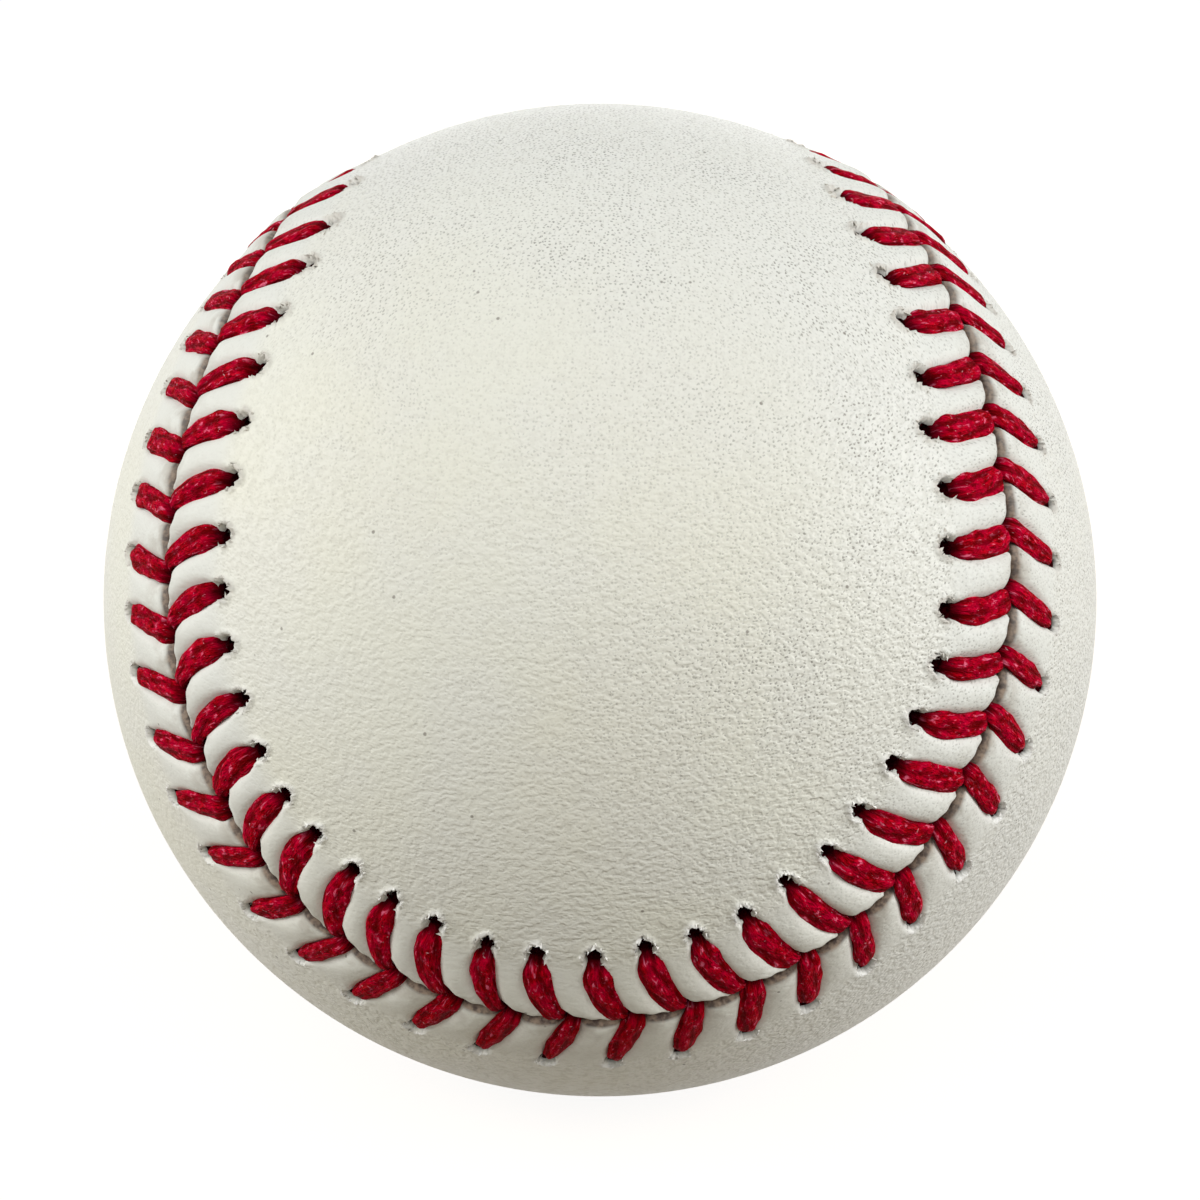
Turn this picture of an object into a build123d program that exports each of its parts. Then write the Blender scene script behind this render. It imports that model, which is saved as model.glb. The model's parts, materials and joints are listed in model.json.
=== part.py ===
"""A leather baseball, built layer by layer as it is made: pill, four windings, laced two-piece cover.

The origin is the middle of the ball and +Z is up. The photographed side faces -Y, where one rounded
end of cover panel a comes round from the top. Lengths are in millimetres and angles in degrees.
"""

import os
from bisect import bisect_right
from math import cos, hypot, pi, sin, sqrt

from build123d import *

# Driving dimensions of the pill, from the middle outwards
CORK_DIAMETER = 20.64
BLACK_SHELL_WALL = 3.97
WASHER_THICKNESS = 0.8
RED_LAYER_WALL = 2.38

# Driving dimensions of the windings
FIRST_WINDING_WALL = 14.4
SECOND_WINDING_WALL = 1.77
THIRD_WINDING_WALL = 2.27
FINISH_WINDING_WALL = 0.5

# Gap left between one layer and the next, and the reach of a cutting shape past what it cuts
LAYER_CLEARANCE = 0.02
CUT_OVERRUN = 2.0

# Driving dimensions of the cover and its lacing
COVER_WALL = 1.27
STITCH_COUNT = 108
HOLE_INSET = 6.1
DIP_LEAD = 1.7
NECK_DIAMETER = 1.1
HOLE_CLEARANCE = 0.25
LEG_WIDTH = 2.0
LEG_THICKNESS = 0.9
DIP_WIDTH = 1.0
DIP_THICKNESS = 0.8
UNDER_WIDTH = 1.8
UNDER_THICKNESS = 0.42
THREAD_CLEARANCE = 0.1
RELIEF_MARGIN = 0.3

# The seam line's formula, and how its own axes lie in the part: turned about Z, then leaned about X
SEAM_THIRD_SHARE = 0.338
SEAM_FIFTH_SHARE = -0.024
SEAM_TURN_ANGLE = 135
SEAM_LEAN_ANGLE = -45
SEAM_POINT_COUNT = 144
SEAM_STEP_COUNT = 4000

# Width of the thread at the two ends of a leg and of an under-run, as shares of its full width
SHOULDER_SHARE = 0.72
SLOPE_STEP_SHARE = 1e-4

# Radii of the layers, each one resting on the layer inside it
cork_radius = CORK_DIAMETER / 2
black_inner = cork_radius + LAYER_CLEARANCE
black_outer = black_inner + BLACK_SHELL_WALL
red_inner = black_outer + LAYER_CLEARANCE
red_outer = red_inner + RED_LAYER_WALL
first_inner = red_outer + LAYER_CLEARANCE
first_outer = first_inner + FIRST_WINDING_WALL
second_inner = first_outer + LAYER_CLEARANCE
second_outer = second_inner + SECOND_WINDING_WALL
third_inner = second_outer + LAYER_CLEARANCE
third_outer = third_inner + THIRD_WINDING_WALL
finish_inner = third_outer + LAYER_CLEARANCE
finish_outer = finish_inner + FINISH_WINDING_WALL
cover_inner = finish_outer + LAYER_CLEARANCE
cover_outer = cover_inner + COVER_WALL

# Fits of the thread: its hole, the gap that it dips into and the groove that it runs in below
hole_diameter = NECK_DIAMETER + 2 * HOLE_CLEARANCE
seam_gap = DIP_THICKNESS + 2 * THREAD_CLEARANCE
relief_depth = UNDER_THICKNESS + 2 * THREAD_CLEARANCE
relief_reach = HOLE_INSET + hole_diameter / 2 + RELIEF_MARGIN
dip_split = DIP_WIDTH + THREAD_CLEARANCE
bend_radius = seam_gap / 2
leg_level = cover_outer + THREAD_CLEARANCE + LEG_THICKNESS / 2
under_level = cover_inner + THREAD_CLEARANCE + UNDER_THICKNESS / 2
meeting_level = (leg_level + under_level) / 2

seam_placement = Rot(X=SEAM_LEAN_ANGLE) * Rot(Z=SEAM_TURN_ANGLE)
crossing_axis = Axis((0, 0, 0), (1, 0, 0))


def seam_direction(angle):
    """Direction from the ball's middle to the seam line, for an angle in radians once round the line."""
    first_share = 1 - SEAM_THIRD_SHARE
    x = first_share * cos(angle) + SEAM_THIRD_SHARE * cos(3 * angle) + SEAM_FIFTH_SHARE * cos(5 * angle)
    y = first_share * sin(angle) - SEAM_THIRD_SHARE * sin(3 * angle) + SEAM_FIFTH_SHARE * sin(5 * angle)
    z = 2 * sqrt(first_share * SEAM_THIRD_SHARE) * sin(2 * angle)
    return Vector(x, y, z).normalized()


def side_direction(angle):
    """Direction square to the seam line, along the ball's surface, towards panel a."""
    ahead = seam_direction(angle + SLOPE_STEP_SHARE)
    behind = seam_direction(angle - SLOPE_STEP_SHARE)
    return seam_direction(angle).cross(ahead - behind).normalized()


def offset_direction(angle, aside):
    """Direction to the point that lies a distance aside from the seam, measured on the cover."""
    turn = aside / cover_outer
    return seam_direction(angle) * cos(turn) + side_direction(angle) * sin(turn)


# Lengths along the seam line on the cover, which space the stitches evenly
step_angles = [2 * pi * step / SEAM_STEP_COUNT for step in range(SEAM_STEP_COUNT + 1)]
step_lengths = [0.0]
for start_angle, end_angle in zip(step_angles, step_angles[1:]):
    step = (seam_direction(end_angle) - seam_direction(start_angle)).length * cover_outer
    step_lengths.append(step_lengths[-1] + step)
seam_length = step_lengths[-1]
stitch_pitch = seam_length / STITCH_COUNT


def seam_angle(length):
    """Angle of the seam formula at a length along the seam line."""
    rest = length % seam_length
    index = min(bisect_right(step_lengths, rest), SEAM_STEP_COUNT) - 1
    share = (rest - step_lengths[index]) / (step_lengths[index + 1] - step_lengths[index])
    return step_angles[index] + share * (step_angles[index + 1] - step_angles[index])


def spherical_shell(inner_radius, outer_radius):
    """Closed hollow sphere between two radii."""
    return Sphere(outer_radius) - Sphere(inner_radius)


def seam_loop(aside, radius):
    """Closed curve beside the seam line, carried in or out to a radius."""
    angles = [2 * pi * index / SEAM_POINT_COUNT for index in range(SEAM_POINT_COUNT)]
    return Edge.make_spline([offset_direction(angle, aside) * radius for angle in angles], periodic=True)


def split_along_seam(inner_radius, outer_radius, aside):
    """The two pieces of a hollow sphere cut square to its surface beside the seam: panel a's, the rest."""
    away_from_cut = Plane(origin=(0, 0, 0), x_dir=(0, 0, -1), z_dir=(1, 1, 0))
    shell = away_from_cut * spherical_shell(inner_radius, outer_radius)
    wall = Face.make_surface_from_curves(
        seam_loop(aside, inner_radius - CUT_OVERRUN),
        seam_loop(aside, outer_radius + CUT_OVERRUN),
    )
    waist_point = Vector(0, 0, (inner_radius + outer_radius) / 2)
    pieces = shell.split(wall, keep=Keep.ALL).solids()
    panel_side = [piece for piece in pieces if piece.is_inside(waist_point)]
    other_side = [piece for piece in pieces if not piece.is_inside(waist_point)]
    return panel_side[0], other_side[0]


def make_cover_panel():
    """Panel a in the seam's axes: one figure-eight of leather with its groove and its punched holes."""
    panel, _ = split_along_seam(cover_inner, cover_outer, seam_gap / 2)
    _, groove = split_along_seam(cover_inner - CUT_OVERRUN, cover_inner + relief_depth, relief_reach)
    hole = Cylinder(hole_diameter / 2, COVER_WALL + 2 * CUT_OVERRUN)
    holes = []
    for stitch in range(STITCH_COUNT):
        outward = offset_direction(seam_angle(stitch * stitch_pitch), HOLE_INSET)
        holes.append(Plane(origin=outward * (cover_inner + COVER_WALL / 2), z_dir=outward) * hole)
    return panel.cut(groove).cut(*[solid for punch in holes for solid in punch.solids()])


def thread_section(start, finish, run, level, climb, width, thickness):
    """One oval of a thread run on the straight way between two (along, aside) places beside the seam.

    run is the share of the way, level the distance from the ball's middle, and climb the angle in
    radians between the thread's heading and the cover.
    """

    def outward_at(share):
        along = start[0] + share * (finish[0] - start[0])
        aside = start[1] + share * (finish[1] - start[1])
        return offset_direction(seam_angle(along), aside)

    outward = outward_at(run)
    onward = outward_at(run + SLOPE_STEP_SHARE) - outward_at(run - SLOPE_STEP_SHARE)
    across = outward.cross(onward).normalized()
    level_heading = across.cross(outward)
    heading = level_heading * cos(climb) + outward * sin(climb)
    return Plane(origin=outward * level, x_dir=across, z_dir=heading) * Ellipse(width / 2, thickness / 2)


def make_thread_run(stitch, side):
    """One run of a thread: up a hole of the side's panel, over its edge, down the gap, under the other."""
    hole_place = (stitch * stitch_pitch, side * HOLE_INSET)
    dip_place = (hole_place[0] + DIP_LEAD - side * dip_split / 2, 0)
    next_place = (hole_place[0] + stitch_pitch, -side * HOLE_INSET)
    leg_length = hypot(dip_place[0] - hole_place[0], HOLE_INSET)
    under_length = hypot(next_place[0] - dip_place[0], HOLE_INSET)
    over_bend = bend_radius / leg_length
    under_bend = bend_radius / under_length
    half_turn_share = 1 - sqrt(1 / 2)
    leg_end = leg_level - half_turn_share * bend_radius
    under_end = under_level + half_turn_share * bend_radius
    leg_shoulder = SHOULDER_SHARE * LEG_WIDTH
    under_shoulder = SHOULDER_SHARE * UNDER_WIDTH
    over = (hole_place, dip_place)
    under = (dip_place, next_place)
    neck = NECK_DIAMETER
    sections = [
        thread_section(*over, 0, meeting_level, pi / 2, neck, neck),
        thread_section(*over, 0, leg_level - bend_radius, pi / 2, neck, neck),
        thread_section(*over, half_turn_share * over_bend, leg_end, pi / 4, neck, DIP_THICKNESS),
        thread_section(*over, over_bend, leg_level, 0, leg_shoulder, DIP_THICKNESS),
        thread_section(*over, 1 / 2, leg_level, 0, LEG_WIDTH, LEG_THICKNESS),
        thread_section(*over, 1 - over_bend, leg_level, 0, leg_shoulder, DIP_THICKNESS),
        thread_section(*over, 1 - half_turn_share * over_bend, leg_end, -pi / 4, DIP_WIDTH, DIP_THICKNESS),
        thread_section(*over, 1, leg_level - bend_radius, -pi / 2, DIP_WIDTH, DIP_THICKNESS),
        thread_section(*under, 0, under_level + bend_radius, -pi / 2, DIP_WIDTH, UNDER_THICKNESS),
        thread_section(*under, half_turn_share * under_bend, under_end, -pi / 4, DIP_WIDTH, UNDER_THICKNESS),
        thread_section(*under, under_bend, under_level, 0, under_shoulder, UNDER_THICKNESS),
        thread_section(*under, 1 / 2, under_level, 0, UNDER_WIDTH, UNDER_THICKNESS),
        thread_section(*under, 1 - under_bend, under_level, 0, under_shoulder, UNDER_THICKNESS),
        thread_section(*under, 1 - half_turn_share * under_bend, under_end, pi / 4, neck, UNDER_THICKNESS),
        thread_section(*under, 1, under_level + bend_radius, pi / 2, neck, neck),
        thread_section(*under, 1, meeting_level, pi / 2, neck, neck),
    ]
    return loft(sections, ruled=True)


def make_thread(first_side):
    """One needle's thread: a run at each stitch, from the two panels in turn."""
    runs = []
    for stitch in range(STITCH_COUNT):
        side = first_side if stitch % 2 == 0 else -first_side
        runs.extend(make_thread_run(stitch, side).solids())
    return Compound(children=runs)


def make_black_shells():
    """The upper and lower half shells of the pill, each cut back for its share of the washer."""
    shell = spherical_shell(black_inner, black_outer)
    cut_height = WASHER_THICKNESS / 2 + LAYER_CLEARANCE
    upper = shell.split(Plane.XY.offset(cut_height), keep=Keep.TOP)
    lower = shell.split(Plane.XY.offset(-cut_height), keep=Keep.BOTTOM)
    return upper, lower


def make_washer():
    """Flat ring between the rims of the two half shells."""
    return Cylinder(black_outer, WASHER_THICKNESS) - Cylinder(black_inner, WASHER_THICKNESS)


upper_shell, lower_shell = make_black_shells()
panel = make_cover_panel()
nodes = {
    "cork_core": Sphere(cork_radius),
    "black_shell_upper": upper_shell,
    "black_shell_lower": lower_shell,
    "pill_washer": make_washer(),
    "red_rubber_layer": spherical_shell(red_inner, red_outer),
    "first_winding": spherical_shell(first_inner, first_outer),
    "second_winding": spherical_shell(second_inner, second_outer),
    "third_winding": spherical_shell(third_inner, third_outer),
    "finish_winding": spherical_shell(finish_inner, finish_outer),
    "cover_panel_a": seam_placement * panel,
    "cover_panel_b": seam_placement * panel.rotate(crossing_axis, 180),
    "thread_first_needle": seam_placement * make_thread(1),
    "thread_second_needle": seam_placement * make_thread(-1),
}

os.makedirs("parts", exist_ok=True)
for name, shape in nodes.items():
    export_step(shape, f"parts/{name}.step")
print(f"cover diameter {2 * cover_outer:.2f} mm, circumference {2 * pi * cover_outer:.1f} mm")
print(f"seam {seam_length:.1f} mm, stitch pitch {stitch_pitch:.3f} mm, seam gap {seam_gap:.2f} mm")
print(f"hole {hole_diameter:.2f} mm, groove {relief_depth:.2f} mm deep, bend radius {bend_radius:.2f} mm")
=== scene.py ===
# %% [markdown]
# # A laced leather ball
# The solids of this ball are plain: a pill, four windings, two cover panels and two threads. Here the
# pieces that show, the leather and the lacing, get their real surfaces, and every piece gets its finish.
# The frame comes first, because each new surface is placed by the same seam line as the solids.

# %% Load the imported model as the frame
import json
import math

import bpy
import numpy as np
from mathutils import Matrix, Vector


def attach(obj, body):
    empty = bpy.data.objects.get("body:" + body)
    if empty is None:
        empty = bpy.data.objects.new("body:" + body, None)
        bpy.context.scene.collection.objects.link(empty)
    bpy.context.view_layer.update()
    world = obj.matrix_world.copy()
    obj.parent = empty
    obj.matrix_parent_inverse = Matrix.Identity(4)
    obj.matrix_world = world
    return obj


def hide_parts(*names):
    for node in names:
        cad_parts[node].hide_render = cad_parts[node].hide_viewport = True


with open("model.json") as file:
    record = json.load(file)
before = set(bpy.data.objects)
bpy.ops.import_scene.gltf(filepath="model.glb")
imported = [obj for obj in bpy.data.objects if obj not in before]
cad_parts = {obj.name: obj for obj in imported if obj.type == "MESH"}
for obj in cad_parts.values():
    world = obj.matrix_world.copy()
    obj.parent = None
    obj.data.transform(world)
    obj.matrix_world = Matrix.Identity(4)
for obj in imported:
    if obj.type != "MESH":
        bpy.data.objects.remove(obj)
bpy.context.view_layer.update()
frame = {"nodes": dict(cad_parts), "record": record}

# %% [markdown]
# ## Sizes
# Blender works in metres. The ball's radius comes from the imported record; the lacing's sizes repeat those
# of the solids, so that the stitches of the dressed ball start from the same places.

# %% Sizes of the ball and its lacing
MM = 0.001
BALL_RADIUS = frame["record"]["mounts"][0]["dims"]["r_mm"] * MM
COVER_WALL = 1.27 * MM
STITCH_COUNT = 108
HOLE_INSET = 6.1 * MM
DIP_LEAD = 1.7 * MM
DIP_SPLIT = 1.1 * MM
SEAM_THIRD_SHARE = 0.338
SEAM_FIFTH_SHARE = -0.024
SEAM_TURN = math.radians(135)
SEAM_LEAN = math.radians(-45)
PANEL_A, PANEL_B = 0, 1
PANEL_SIGN = (1, -1)
print(f"ball {2 * BALL_RADIUS / MM:.2f} mm across, {STITCH_COUNT} stitches")

# %% [markdown]
# ## The seam line
# Seen flat, a ball's cover is two equal figure-eights. On the ball their shared edge is one closed line. A
# drawn curve would do for its looks, but a few harmonics of an angle describe it well and give a place for
# any length. The rest of the file measures everything from this line: a place on the cover is a length
# along it and a distance aside from it.

# %% Seam line as whole arrays
SEAM_TABLE_POINTS = 40001
SLOPE_STEP = 1e-4


def seam_direction(angle):
    """Direction from the ball's middle to the seam, at unit length.

    Harmonics 1, 3 and 5 of the angle give x and y, and the second harmonic gives z.
    """
    first = 1 - SEAM_THIRD_SHARE
    x = first * np.cos(angle) + SEAM_THIRD_SHARE * np.cos(3 * angle) + SEAM_FIFTH_SHARE * np.cos(5 * angle)
    y = first * np.sin(angle) - SEAM_THIRD_SHARE * np.sin(3 * angle) + SEAM_FIFTH_SHARE * np.sin(5 * angle)
    z = 2 * math.sqrt(first * SEAM_THIRD_SHARE) * np.sin(2 * angle)
    line = np.stack([x, y, z], axis=-1)
    return line / np.linalg.norm(line, axis=-1, keepdims=True)


table_angle = np.linspace(0, 2 * np.pi, SEAM_TABLE_POINTS)
table_steps = np.linalg.norm(np.diff(seam_direction(table_angle), axis=0), axis=1) * BALL_RADIUS
table_along = np.concatenate([[0], np.cumsum(table_steps)])
SEAM_LENGTH = table_along[-1]
PITCH = SEAM_LENGTH / STITCH_COUNT
turn_z = np.array(Matrix.Rotation(SEAM_TURN, 3, "Z"))
lean_x = np.array(Matrix.Rotation(SEAM_LEAN, 3, "X"))
SEAM_TO_BALL = lean_x @ turn_z


def seam_axes(along):
    """At a length along the seam: the outward direction, and the direction aside towards panel a."""
    angle = np.interp(np.mod(along, SEAM_LENGTH), table_along, table_angle)
    outward = seam_direction(angle)
    onward = seam_direction(angle + SLOPE_STEP) - seam_direction(angle - SLOPE_STEP)
    aside = np.cross(outward, onward)
    return outward, aside / np.linalg.norm(aside, axis=-1, keepdims=True)


print(f"seam {SEAM_LENGTH / MM:.1f} mm, pitch {PITCH / MM:.3f} mm")

# %% [markdown]
# ## A seam drawn by hand
# No sewn seam keeps to a formula. Pulled tight stitch by stitch, it wanders aside, and its stitches creep
# along it. Moving points by hand would break the even spacing, so both are sums of bell curves with
# unlike flanks: they are smooth, and where they have died away the seam is back on its line.

# %% Wander of the seam and creep of its stitches
# A row is a peak stitch, the reach before and after it in stitches, and a size
SEAM_SWAYS = (
    (19.5, 9.0, 2.7, -5.4 * MM),
    (46.0, 4.0, 4.0, 0.40 * MM),
    (53.6, 1.7, 1.7, 0.45 * MM),
    (62.5, 3.0, 8.0, -3.2 * MM),
    (94.0, 8.0, 8.0, 2.5 * MM),
)
STITCH_CREEPS = (
    (19.5, 10.0, 2.2, -3.6 * MM),
    (63.0, 2.4, 9.0, 3.2 * MM),
)


def lopsided_bells(stitches, rows):
    """Sum of bell curves round the seam; away from a peak, each row's own reach before or after counts."""
    total = np.zeros(np.shape(stitches))
    for peak, before, after, size in rows:
        away = np.mod(stitches - peak + STITCH_COUNT / 2, STITCH_COUNT) - STITCH_COUNT / 2
        total = total + size * np.exp(-((away / np.where(away < 0, before, after)) ** 2))
    return total


def seam_sway(along):
    """How far the sewn seam has wandered aside, towards panel a: the bells of the sways."""
    return lopsided_bells(along / PITCH, SEAM_SWAYS)


def stitch_creep(stitches):
    """How far the stitches have crept onward along the seam: the bells of the creeps."""
    return lopsided_bells(stitches, STITCH_CREEPS)


def cover_direction(along, aside):
    """Direction to a place on the cover: the seam's, turned aside by the distance over the radius."""
    outward, sideways = seam_axes(along)
    turn = ((aside + seam_sway(along)) / BALL_RADIUS)[..., None]
    return outward * np.cos(turn) + sideways * np.sin(turn)


seam_places = np.linspace(0, SEAM_LENGTH, STITCH_COUNT + 1)
print(f"seam wanders up to {np.abs(seam_sway(seam_places)).max() / MM:.1f} mm aside")

# %% [markdown]
# ## How each stitch differs
# Hand sewing is even but never exact. Holes and dips drift slowly round the seam, a few stitches were
# pulled deeper and lie sunk in the leather, and every stitch has its own small slip. A seeded table with
# one row per panel keeps this in whole arrays and gives the same ball each time.

# %% Curves of the stitch number
stitch_number = np.arange(STITCH_COUNT)
SUNKEN_BELLS = ((18.0, 2.6), (63.7, 2.4))
STITCH_SINK = 0.30 * MM


def smooth_step(low, high, value):
    """0 below low, 1 above high, and an S-shaped rise of 3 x squared less 2 x cubed between them."""
    share = np.clip((value - low) / (high - low), 0, 1)
    return share * share * (3 - 2 * share)


def slow_wave(stitches, peak, turns):
    """A cosine that goes round a whole number of turns along the seam and is highest at the peak stitch."""
    return np.cos(2 * np.pi * turns * (stitches - peak) / STITCH_COUNT)


def bell(stitches, peak, reach):
    """A bell curve of the stitch number: 1 at the peak and about a third one reach away from it."""
    return np.exp(-(((stitches - peak) / reach) ** 2))


def drift(base, *bells):
    """A value for each stitch: a base with bell curves added, each given as its size, peak and reach."""
    total = np.full(STITCH_COUNT, float(base))
    for size, peak, reach in bells:
        total = total + size * bell(stitch_number, peak, reach)
    return total


def sunken(stitches):
    """1 where the stitches and the lips of their holes lie sunk into the leather, 0 elsewhere: two bells."""
    return sum(bell(stitches, peak, reach) for peak, reach in SUNKEN_BELLS)


stitch_sink = STITCH_SINK * sunken(stitch_number)
print("stitches sunk by half or more:", stitch_number[stitch_sink > STITCH_SINK / 2].tolist())

# %% Seeded places of the holes and dips, one row per panel
HOLE_SLIP = 0.10 * MM
INSET_SLIP = 0.16 * MM
INSET_SLIP_LIMIT = 0.3 * MM
DIP_SLIP = 0.09 * MM
WIDTH_SLIP_SHARE = 0.06
WIDTH_LIMIT_SHARES = (0.88, 1.12)
HEIGHT_SLIP_SHARE = 0.07
HEIGHT_LIMIT_SHARES = (0.87, 1.13)
SLIP_SHAPE = (2, STITCH_COUNT)
STITCH_SEED = 108
stitch_random = np.random.default_rng(STITCH_SEED)
stitch_start = stitch_number * PITCH + stitch_creep(stitch_number)
hole_drift = MM * np.stack([
    -0.36 - 0.55 * slow_wave(stitch_number, 37, 4),
    0.22 + 0.48 * slow_wave(stitch_number, 59, 2),
])
hole_along = stitch_start + hole_drift + stitch_random.normal(0, HOLE_SLIP, SLIP_SHAPE)
inset_slip = stitch_random.normal(0, INSET_SLIP, SLIP_SHAPE).clip(-INSET_SLIP_LIMIT, INSET_SLIP_LIMIT)
inset_change = MM * np.stack([
    drift(0.35, (-0.35, 31, 5), (-0.75, 51.3, 2.6), (-0.40, 57.5, 3.0)),
    drift(0.15, (-0.25, 47, 5)),
])
hole_aside = HOLE_INSET + inset_change + inset_slip
dip_half_split = np.array([[-DIP_SPLIT / 2], [DIP_SPLIT / 2]])
dip_drift = MM * np.stack([
    drift(0, (-0.28, 40, 4), (0.38, 52, 6)),
    drift(-0.50, (0.50, 53, 6)),
])
dip_slip = dip_drift + stitch_random.normal(0, DIP_SLIP, SLIP_SHAPE)
dip_along = stitch_start + DIP_LEAD + dip_half_split + dip_slip
width_share = stitch_random.normal(1, WIDTH_SLIP_SHARE, SLIP_SHAPE).clip(*WIDTH_LIMIT_SHARES)
height_share = stitch_random.normal(1, HEIGHT_SLIP_SHARE, SLIP_SHAPE).clip(*HEIGHT_LIMIT_SHARES)
twist_phase = stitch_random.uniform(0, 2 * np.pi, SLIP_SHAPE)
print("legs lead by", ((dip_along - hole_along).mean(axis=1) / MM).round(2), "mm on the two panels")

# %% [markdown]
# ## The line of a leg
# A leg is the part of a stitch that shows, from its hole to its dip into the seam. It leaves the hole
# square to the seam, swings forward, and is shaped like a leaf. Drawn curves would have to be drawn for
# 216 legs; a power curve and one short table of widths per panel say it for all of them.

# %% Middle line and width of the legs
DIP_OVERSHOOT = np.array([0.10, 0.02]) * MM
LEG_SHARES = np.array([0.0, 0.08, 0.16, 0.28, 0.42, 0.56, 0.70, 0.82, 0.91, 1.0])
LEG_WIDTHS = np.array([
    [0.98, 1.18, 1.42, 1.65, 1.77, 1.76, 1.66, 1.40, 1.12, 0.80],
    [0.62, 1.00, 1.28, 1.50, 1.58, 1.58, 1.56, 1.50, 1.40, 1.20],
]) * MM
HOLE_END_SHARES = (0.10, 0.50)
DIP_END_SHARES = (0.6, 0.95)
leg_swing = np.stack([2.1 + 0.5 * slow_wave(stitch_number, 32, 2), drift(1.15)])
hole_fullness = np.stack([drift(0), drift(-0.24, (0.52, 27, 4.5), (0.28, 46, 3.5))])
dip_fullness = np.stack([
    0.24 - 0.24 * slow_wave(stitch_number, 32, 2),
    drift(0.04, (-0.10, 40, 4)),
])


def leg_place(panel, stitch, share):
    """Middle line of a leg, from its hole at share 0 to its dip at share 1, as (along, aside).

    The distance aside falls steadily; the length along grows as a power of the share, so that a leg
    leaves its hole square to the seam and swings forward near the dip.
    """
    lead = dip_along[panel, stitch] - hole_along[panel, stitch]
    along = hole_along[panel, stitch] + lead * np.clip(share, 0, None) ** leg_swing[panel, stitch]
    aside = hole_aside[panel, stitch] - (hole_aside[panel, stitch] + DIP_OVERSHOOT[panel]) * share
    return along, aside


def leg_width(panel, stitch, share):
    """Width of a leg: a leaf from the table, with each end fuller or thinner by a share that drifts."""
    leaf = np.interp(share, LEG_SHARES, LEG_WIDTHS[panel])
    hole_end = hole_fullness[panel, stitch] * (1 - smooth_step(*HOLE_END_SHARES, share))
    return leaf * (1 + hole_end + dip_fullness[panel, stitch] * smooth_step(*DIP_END_SHARES, share))


print("widest legs", LEG_WIDTHS.max(axis=1) / MM, "mm on the two panels")

# %% [markdown]
# ## Leather beside the seam
# The thread draws the two panels together. The leather rises very slightly towards the seam, swells
# between the legs and is pressed in under them. It could be sculpted, but then every dent would have to
# follow its own leg by hand. Here each (along, aside) place finds its nearest leg, and a height over the
# ball is worked out for the whole grid at once.

# %% The nearest leg, and the dents that the legs press
SEAM_RAISE = 0.05 * MM
RAISE_REACH = 4.2 * MM
LEG_SINK = 0.50 * MM
PRESS_MARGIN = 0.10 * MM
PRESS_START_SHARES = (-0.10, 0.06)
SWELL = 0.34 * MM
SWELL_WIDTH = 1.4 * MM
SWELL_ASIDE = 1.6 * MM
SWELL_REACH = 2.8 * MM


def seam_raise(aside):
    """Rise of the leather towards the seam: a bell curve of the distance aside."""
    return SEAM_RAISE * np.exp(-((aside / RAISE_REACH) ** 2))


def nearest_leg(panel, along, aside):
    """For each place, five facts of the leg that lies nearest along the seam, out of three tried.

    They are the distance along to its middle line, its share and half width there, and the two
    distances from its hole.
    """
    guess = np.round((along - stitch_creep(along / PITCH) - DIP_LEAD / 2) / PITCH).astype(int)
    best = np.full((5,) + along.shape, np.inf)
    for step in (-1, 0, 1):
        stitch = (guess + step) % STITCH_COUNT
        laps = (guess + step - stitch) * PITCH
        share = 1 - (aside + DIP_OVERSHOOT[panel]) / (hole_aside[panel, stitch] + DIP_OVERSHOOT[panel])
        middle, _ = leg_place(panel, stitch, np.clip(share, 0, 1))
        off_leg = along - middle - laps
        off_hole = along - hole_along[panel, stitch] - laps
        half_width = leg_width(panel, stitch, share) / 2
        found = np.stack([off_leg, share, half_width, off_hole, aside - hole_aside[panel, stitch]])
        best = np.where(np.abs(off_leg) < np.abs(best[0]), found, best)
    return best


def leg_dents(aside, off_leg, share, half_width):
    """Height from the legs: a swell between them, a bell curve aside, less a flat dent under each."""
    pressed = np.exp(-((off_leg / (half_width + PRESS_MARGIN)) ** 4))
    pressed = pressed * smooth_step(*PRESS_START_SHARES, share)
    swell = SWELL * (1 - np.exp(-((off_leg / SWELL_WIDTH) ** 2)))
    swell = swell * np.exp(-(((aside - SWELL_ASIDE) / SWELL_REACH) ** 2))
    return swell - LEG_SINK * pressed


print(f"leather sinks {LEG_SINK / MM} mm under a leg and swells {SWELL / MM} mm between two")

# %% [markdown]
# ## Torn holes
# A needle tears its hole. What shows is a small dark pit with a ragged, raised lip on the side away from
# the seam, and a low lip on each side of the leg. Cutting holes would leave thin slivers of mesh, so
# the pit and the lips are heights too, and seeded noise on the rim keeps the holes unlike one another.

# %% Pits, lips and the whole height of the leather
PIT_DEPTH = np.array([1.15, 0.85]) * MM
PIT_HALF_WIDTH = np.array([0.74, 0.60]) * MM
PIT_HALF_LENGTH = np.array([0.95, 0.66]) * MM
PIT_ROUNDNESS = 1.5
PIT_RIM_SHARES = (0.70, 1.08)
RIM_TEAR_SHARE = 0.10
LIP_HEIGHT = np.array([0.22, 0.07]) * MM
LIP_TEAR_SHARE = 0.45
LIP_RIM_SHARE = 1.14
LIP_WIDTH_SHARES = (0.16, 0.12)
LIP_WIDER_RANGE = (0.2 * MM, -0.6 * MM)
LIP_NEAR_SHARE = 0.25
LIP_OUTER_RANGE = (-0.5 * MM, 0.4 * MM)
SUNKEN_LIP_SHARE = 0.9
SIDE_LIP_SHARE = 0.6
SIDE_LIP_OFFSET = 0.17 * MM
SIDE_LIP_WIDTH = 0.15 * MM
SIDE_LIP_START = (-1.7 * MM, -0.7 * MM)
SIDE_LIP_END = (0.3 * MM, -0.1 * MM)


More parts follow.
